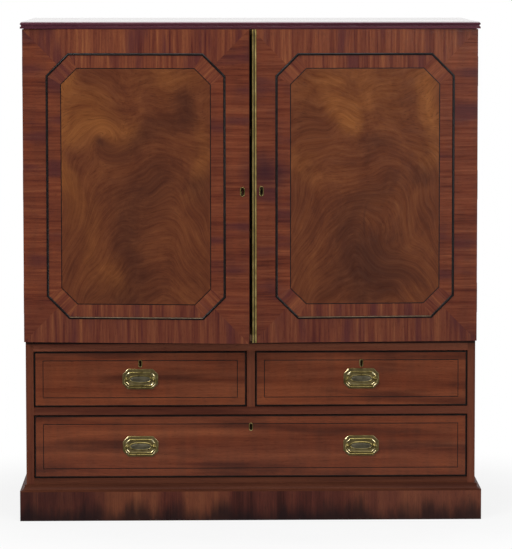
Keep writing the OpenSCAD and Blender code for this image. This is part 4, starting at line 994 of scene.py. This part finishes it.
def floor_material():
    """Pale matt floor that turns to plain white away from the object."""
    g = Graph("floor")
    own = g.own()
    eye, mirror = (g.add("LightPath", out=ray) for ray in ("Is Camera Ray", "Is Glossy Ray"))
    pale = g.ramp(g.noise(own, 6.0, 3.0), (NOISE_LOW, NOISE_HIGH), FLOOR_TONES)
    g.finish(g.mix(mirror, pale, FLOOR_MIRRORED), 0.9)
    reach = g.length(g.vector("MULTIPLY", own, FLOOR_OVAL))
    white = g.remap(reach, FLOOR_NEAR[0], FLOOR_FAR[0], FLOOR_NEAR[1], FLOOR_FAR[1], smooth=True)
    behind = g.remap(g.axes(own, "Y")[0], *FLOOR_MIRROR_Y)
    seen = g.math("MAXIMUM", eye, g.math("MULTIPLY", mirror, behind))
    glow = g.node("Emission", {"Strength": 1.0}).outputs[0]
    mixed = g.add("MixShader", g.math("MULTIPLY", seen, white), g.shader.outputs[0], glow)
    g.put(g.tree.nodes["Material Output"].inputs[0], mixed)
    return g.material


def studio():
    """Sky, floor, soft lamps and the photograph's viewpoint, a little left and above the top."""
    make_sky()
    mesh = bpy.data.meshes.new("floor")
    mesh.from_pydata([(-FLOOR_X, FLOOR_Y0, 0), (FLOOR_X, FLOOR_Y0, 0), (FLOOR_X, FLOOR_Y1, 0),
                      (-FLOOR_X, FLOOR_Y1, 0)], [], [(0, 1, 2, 3)])
    mesh.materials.append(floor_material())
    floor = linked("floor", mesh)

    for name, at, aim, size, power in LAMPS:
        lamp = bpy.data.lights.new(name, "AREA")
        lamp.shape = "DISK"
        lamp.size = size
        lamp.energy = power
        obj = linked(name, lamp)
        obj.location = at
        obj.rotation_euler = (Vector(aim) - Vector(at)).to_track_quat("-Z", "Y").to_euler()

    cam = bpy.data.cameras.new("camera")
    cam.sensor_width = SENSOR
    cam.lens = LENS
    cam.shift_x, cam.shift_y = CAMERA_SHIFT
    cam.clip_end = 100.0
    obj = linked("camera", cam)
    obj.location = CAMERA_PLACE
    obj.rotation_euler = (math.radians(90.0 - CAMERA_DOWN), 0.0, math.radians(CAMERA_TURN))
    bpy.context.scene.camera = obj
    bpy.context.scene.view_settings.view_transform = "Standard"


def main():
    mats = make_materials()
    dress_nodes(mats)
    door_veneers(-1, LEFT_AJAR, "left_door", mats,
                 (DOOR_CX - LEFT_KEYHOLE_X, KEYHOLE_Z, *LEFT_PLATE), LEFT_SEED)
    door_veneers(1, RIGHT_AJAR, "right_door", mats,
                 (RIGHT_KEYHOLE_X - DOOR_CX, KEYHOLE_Z, *RIGHT_PLATE), RIGHT_SEED)
    brass_strip(mats)
    for drawer in DRAWERS:
        drawer_brass(*drawer, mats)
    for bail in BAILS:
        make_bail(*bail, mats)
    studio()


main()
